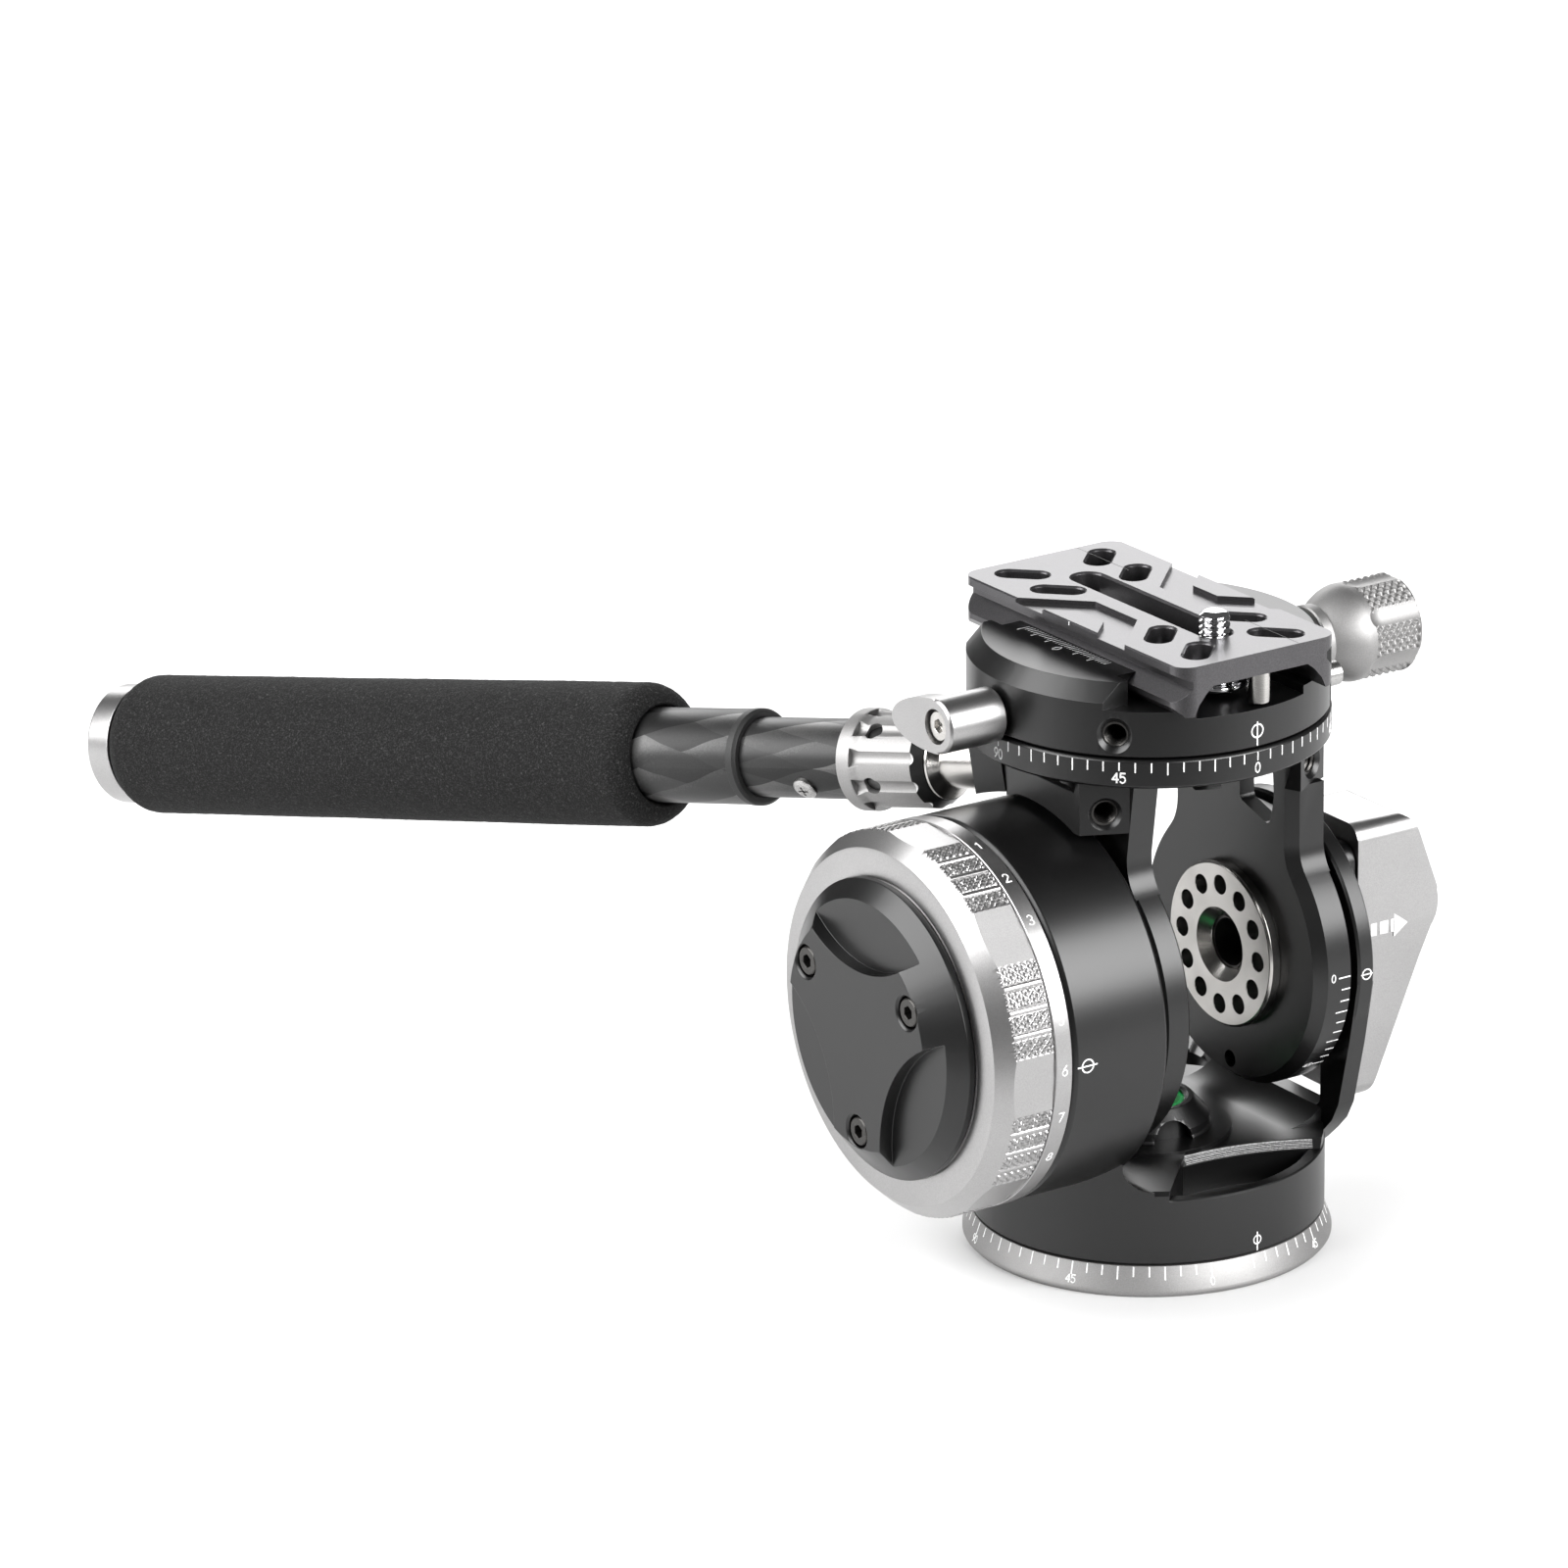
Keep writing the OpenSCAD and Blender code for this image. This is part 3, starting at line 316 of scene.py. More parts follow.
M = {
    "black_anodised": metal("black_anodised", (0.0009, 0.0009, 0.0010), (0.0028, 0.0027, 0.0028), 0.0, 0.325, 0.04, spec=0.52),
    "silver_anodised": metal("silver_anodised", (0.33, 0.326, 0.326), (0.44, 0.435, 0.435), 1.0, 0.34, 0.05),
    "gunmetal_anodised": metal("gunmetal_anodised", (0.070, 0.068, 0.071), (0.120, 0.117, 0.122), 0.9, 0.31, 0.05),
    "silver_matt": metal("silver_matt", (0.27, 0.266, 0.264), (0.36, 0.356, 0.354), 1.0, 0.54, 0.05),
    "stainless": turned("stainless", (0.38, 0.37, 0.355), (0.60, 0.585, 0.565), 0.22),
    "plain_steel": metal("plain_steel", (0.34, 0.335, 0.33), (0.50, 0.495, 0.49), 1.0, 0.28),
    "dark_screw": metal("dark_screw", (0.035, 0.034, 0.033), (0.085, 0.082, 0.078), 0.9, 0.34),
    "chrome": metal("chrome", (0.66, 0.66, 0.67), (0.78, 0.78, 0.79), 1.0, 0.09, 0.03, bump=0.05),
    "bearing_bronze": metal("bearing_bronze", (0.42, 0.28, 0.14), (0.58, 0.42, 0.24), 1.0, 0.35),
    "acetal": metal("acetal", (0.62, 0.60, 0.55), (0.74, 0.72, 0.66), 0.0, 0.5),
    "vial_green": vial_mat("vial_green"),
    "carbon": carbon("carbon"),
    "rubber_lip": metal("rubber_lip", (0.006, 0.006, 0.006), (0.016, 0.016, 0.016), 0.0, 0.55, grain=2600.0),
    "foam": foam_mat("foam"),
}
INK_WHITE = ink("ink_white", (0.70, 0.70, 0.70), (0.92, 0.92, 0.92))
INK_PALE = ink("ink_pale", (0.80, 0.80, 0.80), (0.97, 0.97, 0.97))
INK_SOFT = ink("ink_soft", (0.56, 0.56, 0.56), (0.70, 0.70, 0.70))
MACHINED = ink("machined_edge", (0.20, 0.20, 0.20), (0.42, 0.42, 0.42))
INK_DARK = ink("ink_dark", (0.008, 0.008, 0.008), (0.03, 0.03, 0.03))
COLLAR_TIP = collar_tip("collar_tip")
SLOT = {s["node"]: s["material_slot"] for s in frame["record"]["subparts"]}
BODY = {n: b for b, ns in frame["record"]["behaviour"]["bodies"].items() for n in ns}


def paint(ob, mat):
    if ob.data.materials:
        for i in range(len(ob.data.materials)):
            ob.data.materials[i] = mat
    else:
        ob.data.materials.append(mat)


for name, ob in NODES.items():
    paint(ob, M[SLOT[name]])
paint(NODES["collar_bezel"], COLLAR_TIP)
for n in ("base_ring", "handle_collar"):
    paint(NODES[n], M["silver_matt"])
paint(NODES["tube_screw"], M["plain_steel"])


# ---------------------------------------------------------------- softened edges on the carried-over parts
def soften(ob, width, segments=2, angle=32.0, dissolve=True):
    w = ob.modifiers.new("weld", "WELD")
    w.merge_threshold = 2e-6
    if dissolve:
        d = ob.modifiers.new("planar", "DECIMATE")
        d.decimate_type = "DISSOLVE"
        d.angle_limit = math.radians(0.6)
    b = ob.modifiers.new("edges", "BEVEL")
    b.width = width * MM
    b.segments = segments
    b.limit_method = "ANGLE"
    b.angle_limit = math.radians(angle)
    b.use_clamp_overlap = True
    b.miter_outer = "MITER_ARC"
    n = ob.modifiers.new("normals", "WEIGHTED_NORMAL")
    n.weight = 60
    n.keep_sharp = False


EDGE = {
    "base_ring": 0.15, "pan_body": 0.25, "drum_housing": 0.25, "tilt_upright": 0.25, "level_bezel": 0.12,
    "dial_cap": 0.2, "cradle_ring": 0.2, "arm_left": 0.3, "arm_right": 0.3, "hub_disc_right": 0.12,
    "hub_disc_left": 0.12, "lock_hub": 0.4, "lock_lever": 0.9, "clamp_base": 0.25, "clamp_jaw": 0.25,
    "top_lock_lever": 0.3, "plate": 0.22, "stop_pins": 0.12, "collar_bezel": 0.08, "handle_collar": 0.1,
    "end_cap": 0.25, "pan_lock_knob": 0.3, "cap_screws": 0.1, "top_lock_screw": 0.1, "tube_screw": 0.08,
    "tube_lip": 0.15, "knob_cap": 0.2, "lever_screw": 0.2,
}
for n, w in EDGE.items():
    soften(NODES[n], w)


# ---------------------------------------------------------------- mesh helpers
def add_mesh(name, verts, faces, mat, body, smooth_angle=None, replaces=()):
    """verts in mm, in the shared frame."""
    me = bpy.data.meshes.new(name)
    me.from_pydata([tuple(v) for v in np.asarray(verts) * MM], [], [tuple(map(int, f)) for f in faces])
    me.materials.append(mat)
    if smooth_angle is not None:
        me.polygons.foreach_set("use_smooth", [True] * len(me.polygons))
        me.set_sharp_from_angle(angle=math.radians(smooth_angle))
    me.update()
    ob = bpy.data.objects.new(name, me)
    bpy.context.scene.collection.objects.link(ob)
    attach(ob, body)
    if replaces:
        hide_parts(*replaces)
    return ob


def ring_grid(rows, cols):
    """Quads of a grid closed in both directions."""
    i, j = np.meshgrid(np.arange(rows), np.arange(cols), indexing="ij")
    i2, j2 = (i + 1) % rows, (j + 1) % cols
    return np.stack([i * cols + j, i * cols + j2, i2 * cols + j2, i2 * cols + j], -1).reshape(-1, 4)


def fix_normals(ob):
    bm = bmesh.new()
    bm.from_mesh(ob.data)
    bmesh.ops.recalc_face_normals(bm, faces=bm.faces)
    bm.to_mesh(ob.data)
    bm.free()
    ob.data.update()


def tri(a):
    """Triangle wave, 0 at whole numbers and 1 halfway."""
    return 1.0 - np.abs(2.0 * (a - np.floor(a)) - 1.0)


# ---------------------------------------------------------------- drag dial with its knurled pads
def make_dial():
    R, x0, x1 = 39.4, -50.95, -59.7
    pads = [115 + 45 * k for k in range(8)]
    half = 13.5
    th = []
    for p in pads:
        th.extend(np.linspace(p - half - 0.6, p + half + 0.6, 138))
        th.extend(np.linspace(p + half + 0.6, p + 45 - half - 0.6, 14)[1:-1])
    th = np.array(th)
    rel = (th - pads[0] + 22.5) % 45 - 22.5
    s = np.radians(rel) * R
    in_pad = np.abs(rel) <= half + 0.6
    nrow = 62
    f = np.linspace(0, 1, nrow)
    S, F = np.meshgrid(s, f)
    X = x0 + F * (x1 - x0)
    k = np.minimum(tri(S / 1.5 + X / 1.5), tri(S / 1.5 - X / 1.5))
    k = np.clip(k * 1.55, 0, 1)
    cut = np.clip((9.45 - np.abs(S)) / 0.5, 0, 1)
    h = -0.38 * (1 - k) * cut
    for c in (-4.9, 0.0, 4.9):
        d = np.abs(S - c)
        rib = np.sqrt(np.clip(1 - (d / 0.62) ** 2, 0, 1)) * 0.34 - 0.36
        near = np.clip((0.95 - d) / 0.2, 0, 1)
        h = np.where(d < 0.62, np.maximum(rib, -0.36), h * (1 - near) - 0.40 * near)
    gap_half = (45 - 2 * half) / 2
    t = (22.5 - np.abs(rel)) / gap_half
    scallop = -0.5 * (1 - np.clip(t, 0, 1) ** 2)
    h = np.where(in_pad[None, :] & (np.abs(rel) < half)[None, :], h, scallop[None, :] * np.ones_like(h))
    rr = R + h
    xb = x1 + h[-1] * 3.5 / 3.2
    X = x0 + F * (xb[None, :] - x0)
    rows_r, rows_x = [], []

    def row(r, x):
        rows_r.append(np.full(len(th), r))
        rows_x.append(np.full(len(th), x))

    for r, x in ((33, -46.5), (R - 0.3, -46.5), (R, -46.8), (R, -50.35), (R - 0.15, -50.5), (R - 0.5, -50.55), (R - 0.5, -50.75)):
        row(r, x)
    for i in range(nrow):
        rows_r.append(rr[i])
        rows_x.append(X[i])
    for fr in (0.3, 0.65, 0.96):
        rows_r.append((1 - fr) * rr[-1] + fr * (R - 3.2))
        rows_x.append((1 - fr) * X[-1] + fr * -63.2)
    row(R - 3.5, -63.2)
    for r, x in ((30.75, -63.2), (30.75, -62.9), (30.2, -62.9), (30.2, -63.2), (5.05, -63.2), (5.05, -60), (33, -60)):
        row(r, x)
    rr, X = np.array(rows_r), np.array(rows_x)
    a = np.radians(th)[None, :]
    V = np.stack([X, rr * np.cos(a), rr * np.sin(a) + TILT_Z], -1).reshape(-1, 3)
    ob = add_mesh("dial_knurled", V, ring_grid(*rr.shape), M["silver_anodised"], "drag_dial",
                  None, ("dial_ring",))
    fix_normals(ob)
    ob.data.polygons.foreach_set("use_smooth", [True] * len(ob.data.polygons))
    ob.data.set_sharp_from_angle(angle=math.radians(24))
    return ob


make_dial()


# ---------------------------------------------------------------- clamp knob
def make_knob():
    R, zc = 10.1, 118.0
    th = np.radians(np.linspace(0, 360, 420, endpoint=False))
    prof = [(3, 35.7), (4.4, 35.7), (4.4, 38.9), (6.95, 38.9), (7.3, 39.2), (7.3, 41.2), (7.1, 41.4), (6.7, 41.5)]
    for x in np.linspace(41.8, 48.5, 26):
        q = (x - 41.5) / 7.0
        prof.append((6.7 + (R - 6.7) * (1 - (1 - min(q, 1)) ** 1.6), x))
    for x in np.linspace(48.6, 60.5, 76):
        prof.append((R, x))
    prof += [(R - 0.15, 60.85), (R - 0.55, 61.3), (R - 0.9, 61.5), (6.6, 61.5), (6.5, 61.4), (6.5, 58.5), (3, 58.5)]
    P = np.array(prof)
    A, X = np.meshgrid(th, P[:, 1])
    r0 = np.repeat(P[:, :1], len(th), 1)
    r = r0.copy()
    outer = (np.arange(len(P)) >= 8) & (np.arange(len(P)) < len(P) - 4)
    scoop = np.full_like(r, 99.0)
    for k in range(6):
        c = math.radians(60 * k + 30)
        d = np.angle(np.exp(1j * (A - c)))
        rho2 = 36.0 - np.clip(52.0 - X, 0, None) ** 2
        q = rho2 - (15.2 * np.sin(d)) ** 2
        ok = (np.abs(d) < 1.0) & (q > 0)
        rs = 15.2 * np.cos(d) - np.sqrt(np.clip(q, 0, None))
        scoop = np.where(ok, np.minimum(scoop, rs), scoop)
    r = np.where(outer[:, None], np.minimum(r, scoop), r)
    S = A * R
    per = 2 * math.pi * R / 32
    kn = np.minimum(tri(S / per + X / 1.75), tri(S / per - X / 1.75))
    kn = np.clip(kn * 1.35, 0, 1)
    inpad = np.clip((X - 49.7) / 0.25, 0, 1) * np.clip((60.45 - X) / 0.2, 0, 1) * outer[:, None]
    kr = r0 - 0.5 * (1 - kn) * inpad
    r = np.where(outer[:, None] & (X > 49), np.minimum(kr, scoop), r)
    V = np.stack([X, r * np.cos(A), r * np.sin(A) + zc], -1).reshape(-1, 3)
    ob = add_mesh("clamp_knob_knurled", V, ring_grid(*r.shape), M["silver_matt"], "knob",
                  None, ("clamp_knob",))
    fix_normals(ob)
    ob.data.polygons.foreach_set("use_smooth", [True] * len(ob.data.polygons))
    ob.data.set_sharp_from_angle(angle=math.radians(26))
    return ob


make_knob()


# ---------------------------------------------------------------- handle frame
HR = Matrix.Rotation(math.radians(16.73), 3, "Z") @ Matrix.Rotation(math.radians(-101.09), 3, "X")
HR = np.array(HR)
HO = np.array([-26.0, 25.0, 98.47])


def to_handle(P):
    return np.asarray(P) @ HR.T + HO


def make_foam():
    a, b, R, rc, bore = 82.0, 232.0, 15.1, 4.6, 10.0
    prof = [(bore, a + 1.2), (bore + 0.7, a + 0.25)]
    for q in np.linspace(-90, 0, 16):
        prof.append((R - rc + rc * math.cos(math.radians(q)), a + rc + rc * math.sin(math.radians(q))))
    for t in np.linspace(a + rc, b - rc, 250)[1:-1]:
        prof.append((R, t))
    for q in np.linspace(0, 90, 16):
        prof.append((R - rc + rc * math.cos(math.radians(q)), b - rc + rc * math.sin(math.radians(q))))
    prof += [(bore + 0.7, b - 0.25), (bore, b - 1.2)]
    P = np.array(prof)
    n = 200
    th = np.linspace(0, 2 * math.pi, n, endpoint=False)
    A, T = np.meshgrid(th, P[:, 1])
    r = np.repeat(P[:, :1], n, 1)
    rng = np.random.default_rng(5)
    noise = rng.random(r.shape)
    soft = (noise + np.roll(noise, 1, 0) + np.roll(noise, 1, 1) + np.roll(noise, -1, 0) + np.roll(noise, -1, 1)) / 5
    slow = 0.5 + 0.5 * np.sin(A * 3 + T * 0.05) * np.sin(T * 0.11 + A)
    body = (r > bore + 1.0)
    r = r - body * (0.16 * soft + 0.10 * slow)
    V = to_handle(np.stack([r * np.cos(A), r * np.sin(A), T], -1).reshape(-1, 3))
    ob = add_mesh("foam_grip_cells", V, ring_grid(*r.shape), M["foam"], "grip", None, ("foam_grip",))
    fix_normals(ob)
    ob.data.polygons.foreach_set("use_smooth", [True] * len(ob.data.polygons))
    return ob


make_foam()


# ---------------------------------------------------------------- camera screw with its thread and ribbed head
def make_camera_screw():
    cx, cy = 0.0, -22.0
    n = 96
    prof = [(0.05, 124.2), (4.9, 124.2), (5.5, 124.25)]
    for z in np.linspace(124.3, 126.95, 34):
        prof.append((5.65 + 0.5 * abs(math.sin((z - 124.3) / 1.325 * math.pi)), z))
    prof += [(5.5, 127.0), (2.9, 127.0), (2.9, 127.4)]
    zt0, zt1 = 127.4, 137.35
    for z in np.linspace(zt0, zt1, 110)[1:]:
        prof.append((3.1, z))
    prof += [(2.55, 137.65), (2.2, 137.9), (1.7, 138.0), (0.05, 138.0)]
    P = np.array(prof)
    th = np.linspace(0, 2 * math.pi, n, endpoint=False)
    A, Z = np.meshgrid(th, P[:, 1])
    r = np.repeat(P[:, :1], n, 1)
    ph = Z / 1.27 - A / (2 * math.pi)
    groove = np.clip(tri(ph) * 1.35, 0, 1)
    on = (Z > 132.6) & (r > 2.0)
    r = np.where(on, np.minimum(r, 2.45 + 0.65 * groove), r)
    r = np.where((Z > 127.2) & (Z <= 132.6) & (r > 2.0), 2.9, r)
    V = np.stack([cx + r * np.cos(A), cy + r * np.sin(A), Z], -1).reshape(-1, 3)
    rows = len(P)
    F = []
    for i in range(rows - 1):
        for j in range(n):
            F.append((i * n + j, i * n + (j + 1) % n, (i + 1) * n + (j + 1) % n, (i + 1) * n + j))
    F.append(tuple(range(n)))
    F.append(tuple((rows - 1) * n + j for j in range(n)))
    ob = add_mesh("camera_screw_threaded", V, F, M["chrome"], "camera_screw", None, ("camera_screw",))
    fix_normals(ob)
    ob.data.polygons.foreach_set("use_smooth", [True] * len(ob.data.polygons))
    ob.data.set_sharp_from_angle(angle=math.radians(35))
    return ob


make_camera_screw()


# ---------------------------------------------------------------- threads in the tapped sockets
def make_thread(name, mouth, inward, depth, body, r=2.6, start=0.9):
    d = np.array(inward, float)
    d /= np.linalg.norm(d)
    e1 = np.cross(d, [0, 0, 1.0])
    e1 /= np.linalg.norm(e1)
    e2 = np.cross(d, e1)
    n, rows = 64, int(depth / 0.12)
    th = np.linspace(0, 2 * math.pi, n, endpoint=False)
    t = np.linspace(start, depth, rows)
    A, T = np.meshgrid(th, t)
    inner = r - 0.05 - 0.42 * np.clip(tri(T / 1.0 - A / (2 * math.pi)) * 1.2, 0, 1)
    rr = np.vstack([inner, np.full((2, n), r + 0.15)])
    TT = np.vstack([T, np.full((1, n), depth), np.full((1, n), start)])
    AA = np.vstack([A, A[:2]])
    V = (np.array(mouth)[None, None] + d * TT[..., None] + e1 * (rr * np.cos(AA))[..., None] + e2 * (rr * np.sin(AA))[..., None]).reshape(-1, 3)
    ob = add_mesh(name, V, ring_grid(*rr.shape), M["dark_screw"], body, None)
    fix_normals(ob)
    ob.data.polygons.foreach_set("use_smooth", [True] * len(ob.data.polygons))
    ob.data.set_sharp_from_angle(angle=math.radians(35))
    return ob


def heading(a):
    return np.array([math.cos(math.radians(a)), math.sin(math.radians(a)), 0.0])


make_thread("thread_left", (-24.4, -19.25, 99.7), -heading(-116.1), 8.5, "cradle")
make_thread("thread_right", (26.4, -19.25, 100.2), -heading(-63.9), 4.0, "cradle")
make_thread("thread_clamp", np.array([0, 0, 118.0]) + 36.3 * heading(-136.6), -heading(-136.6), 11.0, "clamp", start=1.2)


# ---------------------------------------------------------------- scales, numbers and index marks
def ell(cx, cy, rx, ry, a0, a1, n=16):
    return [(cx + rx * math.cos(math.radians(a0 + (a1 - a0) * i / n)), cy + ry * math.sin(math.radians(a0 + (a1 - a0) * i / n)))
            for i in range(n + 1)]


GLYPH = {
    "0": [ell(0, 0, .27, .5, 0, 360, 24)],
    "1": [[(-.18, .28), (.04, .5), (.04, -.5)]],
    "2": [ell(0, .22, .27, .28, 165, -35) + [(-.28, -.5), (.29, -.5)]],
    "3": [ell(-.02, .25, .26, .25, 150, -90), ell(-.02, -.25, .29, .25, 90, -150)],
    "4": [[(.14, -.5), (.14, .5), (-.3, -.18), (.3, -.18)]],
    "5": [[(.24, .5), (-.2, .5), (-.24, .05)] + ell(-.02, -.18, .28, .32, 125, -140)],
    "6": [ell(0, -.2, .27, .3, 0, 360, 20), [(.2, .5), (-.1, .2), (-.26, -.12)]],
    "7": [[(-.28, .5), (.28, .5), (-.08, -.5)]],
    "8": [ell(0, .25, .23, .25, 0, 360, 20), ell(0, -.24, .28, .26, 0, 360, 20)],
    "9": [ell(0, .2, .27, .3, 0, 360, 20), [(-.2, -.5), (.1, -.2), (.26, .12)]],
}


class Marks:
    """Closed thin prisms of strokes laid on a surface; place(u, v, h) gives a point h mm above it."""

    def __init__(self):
        self.V, self.F = [], []

    def prism(self, corners, place):
        """A convex outline in (u, v)."""
        n, k = len(self.V), len(corners)
        for h in (-0.05, 0.03):
            for u, v in corners:
                self.V.append(place(u, v, h))
        self.F.append(tuple(range(n + k - 1, n - 1, -1)))
        self.F.append(tuple(range(n + k, n + 2 * k)))
        for i in range(k):
            j = (i + 1) % k
            self.F.append((n + i, n + j, n + k + j, n + k + i))

    def line(self, p, q, w, place, step=1.2, cap=0.0):
        p, q = np.array(p, float), np.array(q, float)
        L = np.linalg.norm(q - p)
        if L < 1e-6:
            return
        d = (q - p) / L
        p, q = p - d * cap, q + d * cap
        nrm = np.array([-d[1], d[0]]) * w / 2
        m = max(1, int(math.ceil(np.linalg.norm(q - p) / step)))
        for i in range(m):
            a, b = p + (q - p) * i / m, p + (q - p) * (i + 1) / m
            self.prism([a - nrm, b - nrm, b + nrm, a + nrm], place)

    def path(self, pts, w, place):
        for a, b in zip(pts[:-1], pts[1:]):
            self.line(a, b, w, place, cap=w * 0.35)

    def text(self, s, u, v, h, w, place, gap=0.74):
        for i, ch in enumerate(s):
            cu = u + (i - (len(s) - 1) / 2) * gap * h
            for pl in GLYPH[ch]:
                self.path([(cu + x * h, v + y * h) for x, y in pl], w, place)

    def index(self, u, v, d, v0, v1, w, place):
        """A circle crossed by a line."""
        self.path(ell(u, v, d / 2, d / 2, 0, 360, 24), w, place)
        self.line((u, v0), (u, v1), w, place)

    def build(self, name, mat, body):
        return add_mesh(name, np.array(self.V), self.F, mat, body)


def on_z_cyl(R, theta):
    """Upright cylinder about the pan axis, u to the right seen from outside, v up."""
    def place(u, v, h):
        a = math.radians(theta) + u / R
        return ((R + h) * math.cos(a), (R + h) * math.sin(a), v)
    return place


def on_z_cone(theta):
    """Sloping side of the base ring."""
    def place(u, v, h):
        r = 37.5 - (v - 1.5) * 1.6 / 4.75
        a = math.radians(theta) + u / 36.5
        return ((r + h * 0.95) * math.cos(a), (r + h * 0.95) * math.sin(a), v + h * 0.32)
    return place


def on_x_cyl(R, alpha):
    """Cylinder about the tilt axis, u along X, v up along the front."""
    def place(u, v, h):
        a = math.radians(alpha) - v / R
        return (u, (R + h) * math.cos(a), (R + h) * math.sin(a) + TILT_Z)
    return place


# graduated ring of the cradle
mk = Marks()
for k in range(72):
    a = -90 + 5 * k
    num = k % 9 == 0
    ln = 1.7 if num else (2.5 if k % 3 == 0 else 2.0)
    mk.line((0, 112.65), (0, 112.65 - ln), 0.25, on_z_cyl(36.5, a))
for k, s in enumerate(["0", "45", "90", "135", "180", "135", "90", "45"]):
    mk.text(s, 0, 109.45, 1.95, 0.30, on_z_cyl(36.5, -90 + 45 * k))
mk.build("marks_cradle_ring", INK_WHITE, "cradle")

# index on the clamp and the millimetre scale on its left jaw
mk = Marks()
mk.index(0, 117.0, 2.7, 113.95, 118.9, 0.30, on_z_cyl(36.3, -90))


def on_jaw(u, v, h):
    return (u, v, 128.0 + h)


for i in range(-14, 16):
    y = 1.1 + i * 0.95
    long = i % 5 == 0
    mk.line((-17.9, y), (-21.1 if long and i else -19.8, y), 0.13, on_jaw)
pl = ell(0, 0, .5, .27, 0, 360, 20)
mk.path([(-21.5 + x * 2.1, 1.1 + y * 2.1) for x, y in pl], 0.2, on_jaw)
mk.build("marks_clamp", INK_WHITE, "clamp")

# index on the panning body
mk = Marks()
mk.index(0, 9.1, 1.8, 6.75, 10.8, 0.24, on_z_cyl(36.0, -88.2))
# index on the drum
pts = ell(0, 0, 1.35, 1.35, 0, 360, 24)
mk.path([(-42.9 + x, y) for x, y in pts], 0.30, on_x_cyl(39.3, 180.4))
mk.line((-45.3, 0), (-40.6, 0), 0.30, on_x_cyl(39.3, 180.4))
# index on the edge of the upright
mk.path([(32.5 + x * 0.8, y * 0.8) for x, y in pts], 0.26, on_x_cyl(30.0, 180.9))
mk.line((31.05, 0), (33.95, 0), 0.26, on_x_cyl(30.0, 180.9))
mk.build("marks_pan", INK_WHITE, "pan")

# tool marks along the sloping face of the pocket's ridge
mk = Marks()


def on_ridge(u, v, h):
    a = math.radians(75.0) + u / 53.0
    r = 52.4 + (v - 20.3) - h * 0.7
    return (-4.0 + r * math.cos(a), -71.0 + r * math.sin(a), v + h * 0.7)


for v, w in ((20.5, 0.10), (20.75, 0.14), (21.0, 0.08), (21.2, 0.14), (21.45, 0.10), (21.72, 0.22)):
    mk.line((math.radians(59.6 - 75) * 53, v), (math.radians(89.6 - 75) * 53, v), w, on_ridge)
mk.build("ridge_tool_marks", MACHINED, "pan")

# base ring
mk = Marks()
for k in range(72):
    a = -105.2 + 5 * k
    mk.line((0, 6.1), (0, 3.6 if k % 3 == 0 else 4.2), 0.26, on_z_cone(a))
for k, s in enumerate(["0", "45", "90", "135", "180", "135", "90", "45"]):
    mk.text(s, 0, 2.75, 1.5, 0.22, on_z_cone(-105.2 + 45 * k))
mk.build("marks_base", INK_PALE, "base")

# drag numbers
mk = Marks()
for k in range(8):
    mk.text(str(k + 1), -48.45, 0, 2.05, 0.25, on_x_cyl(39.4, 105 + 15 * k))
mk.build("marks_dial", INK_PALE, "drag_dial")

# tilt scale on the lever side arm
mk = Marks()
for k in range(0, 10):
    ln = 2.9 if k % 3 == 0 else 2.1
    mk.line((28.55, 0), (28.55 - ln, 0), 0.26, on_x_cyl(29.8, 180 + 5 * k))
mk.text("0", 24.35, 0, 1.6, 0.24, on_x_cyl(29.8, 179.6))
mk.text("45", 24.5, 0, 1.35, 0.2, on_x_cyl(29.8, 225))
mk.build("marks_tilt", INK_WHITE, "cradle")

# index on the side of the plate and the alignment lines on its top
mk = Marks()
mk.line((0, 132.62), (0, 133.35), 0.26, lambda u, v, h: (-19.25 - h, 0.2 + u, v))
mk.build("marks_plate_index", INK_WHITE, "plate")
mk = Marks()
for y0, y1 in ((-37.0, -19.6), (19.6, 37.4)):
    mk.line((9.3, y0), (9.3, y1), 0.14, lambda u, v, h: (u, v, 133.5 + h * 0.5), step=50)
mk.build("lines_plate", INK_DARK, "plate")

# unlock arrow on the lever
mk = Marks()


def on_lever(u, v, h):
    return (u, -11.5 - h, v)


for x0, x1 in ((47.6, 49.1), (49.9, 52.0)):
    mk.prism([(x0, 56.2), (x1, 56.1), (x1, 58.9), (x0, 58.9)], on_lever)
mk.prism([(52.7, 56.1), (53.6, 56.1), (53.6, 58.9), (52.7, 58.9)], on_lever)
mk.prism([(53.5, 54.9), (57.0, 57.4), (53.5, 60.0)], on_lever)
mk.build("marks_lever", INK_SOFT, "lock_handle")


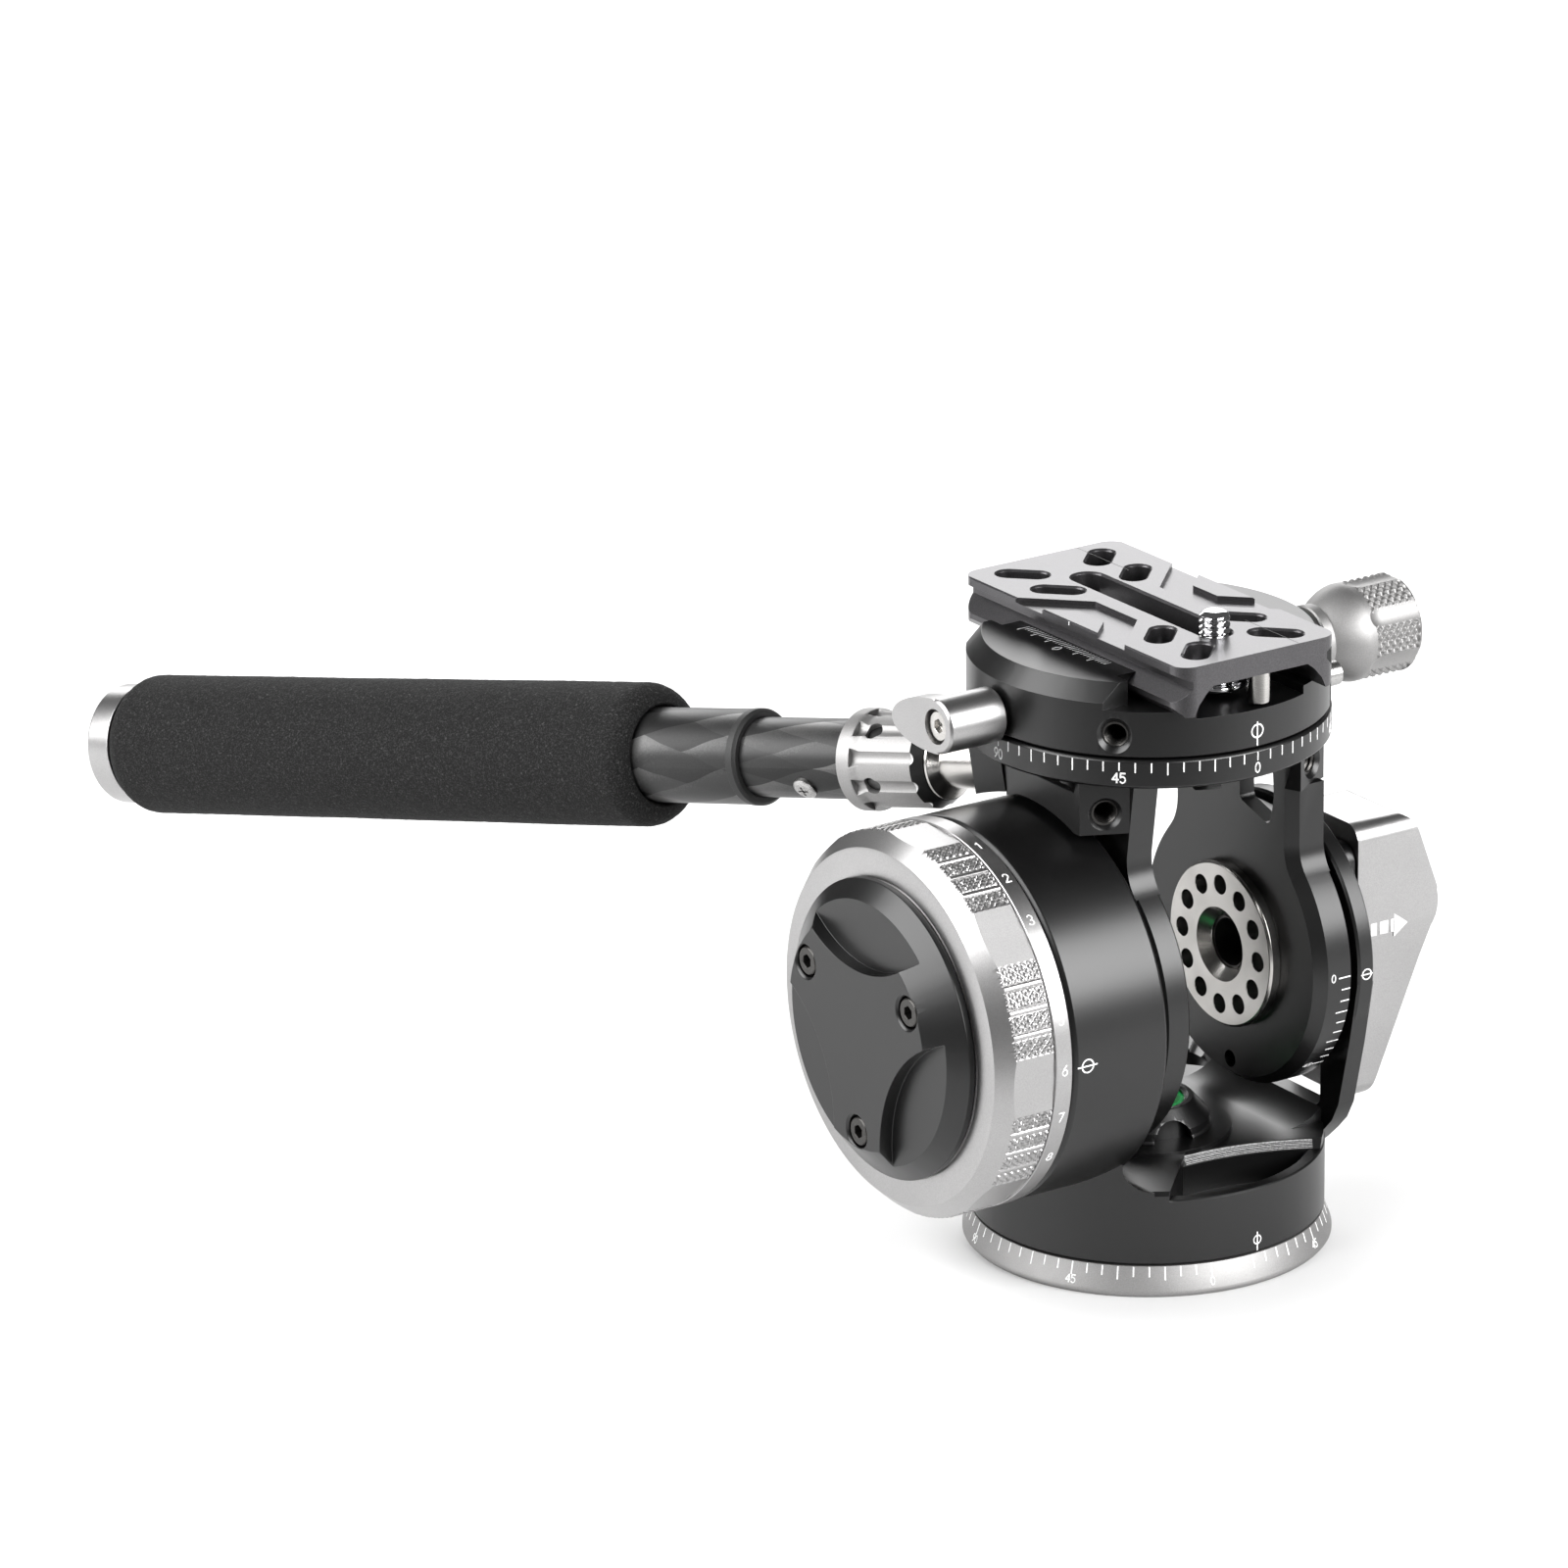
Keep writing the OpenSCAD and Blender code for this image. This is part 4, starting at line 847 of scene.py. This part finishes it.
# ---------------------------------------------------------------- stage
def floor():
    me = bpy.data.meshes.new("floor")
    bm = bmesh.new()
    bmesh.ops.create_grid(bm, x_segments=8, y_segments=8, size=6.0)
    bm.to_mesh(me)
    bm.free()
    ob = bpy.data.objects.new("floor", me)
    bpy.context.scene.collection.objects.link(ob)
    m, nt, b = new_mat("floor")
    tc = node(nt, "ShaderNodeTexCoord")
    n = node(nt, "ShaderNodeTexNoise", in_Scale=40.0, in_Detail=3.0)
    nt.links.new(tc.outputs["Object"], n.inputs["Vector"])
    sep = node(nt, "ShaderNodeSeparateXYZ")
    nt.links.new(tc.outputs["Object"], sep.inputs[0])
    # painted shade: the floor's colour drops to 0.15 from about 0.3 m in front of the object towards the camera. This
    # dark sheet stands in for the unlit space in front of the table, which the black walls reflect. Behind the object
    # the floor is pale
    depth = math_node(nt, "MULTIPLY_ADD", sep.outputs["X"], 0.553, math_node(nt, "MULTIPLY", sep.outputs["Y"], 0.833))
    front_shade = math_node(nt, "MULTIPLY_ADD", depth, 2.5, 1.0)
    # grain adds fine noise to the painted front shade
    grain = math_node(nt, "MULTIPLY_ADD", n.outputs["Fac"], 0.02, front_shade)
    cr = ramp(nt, [(0.0, 0.15), (0.30, 0.15), (0.55, 0.58), (1.0, 0.62)])
    nt.links.new(grain, cr.inputs["Fac"])
    nt.links.new(cr.outputs["Color"], b.inputs["Base Color"])
    b.inputs["Roughness"].default_value = 0.7
    b.inputs["Specular IOR Level"].default_value = 0.2
    me.materials.append(m)
    return ob


floor()


def area(name, loc, target, sx, sy, radiance):
    li = bpy.data.lights.new(name, "AREA")
    li.shape = "RECTANGLE"
    li.size, li.size_y = sx, sy
    li.energy = radiance * math.pi * sx * sy
    ob = bpy.data.objects.new(name, li)
    d = Vector(target) - Vector(loc)
    ob.rotation_euler = d.to_track_quat("-Z", "Y").to_euler()
    ob.location = loc
    ob.visible_camera = False
    bpy.context.scene.collection.objects.link(ob)
    return ob


C = (-0.03, 0.02, 0.08)


def around(azimuth, elevation, dist):
    a, e = math.radians(azimuth), math.radians(elevation)
    return tuple(c + dist * d for c, d in zip(C, (math.cos(a) * math.cos(e), math.sin(a) * math.cos(e), math.sin(e))))


# two large softboxes, a low bright backdrop, and a wash that only lights the table
area("softbox_right", around(-70, 27, 1.4), C, 1.25, 0.82, 12.5)
area("softbox_left", around(165, 32, 1.3), C, 1.45, 1.05, 7.6)
area("backdrop", around(57, 20, 1.7), C, 1.5, 0.66, 4.2)
wash = area("table_wash", (0.55, 0.85, 1.5), (0.55, 0.85, 0.0), 1.9, 1.9, 2.6)
wash.visible_glossy = False

w = bpy.data.worlds.new("world")
bpy.context.scene.world = w
w.use_nodes = True
w.node_tree.nodes["Background"].inputs["Color"].default_value = (1, 1, 1, 1)
w.node_tree.nodes["Background"].inputs["Strength"].default_value = 0.10
bpy.context.scene.view_settings.view_transform = "Standard"
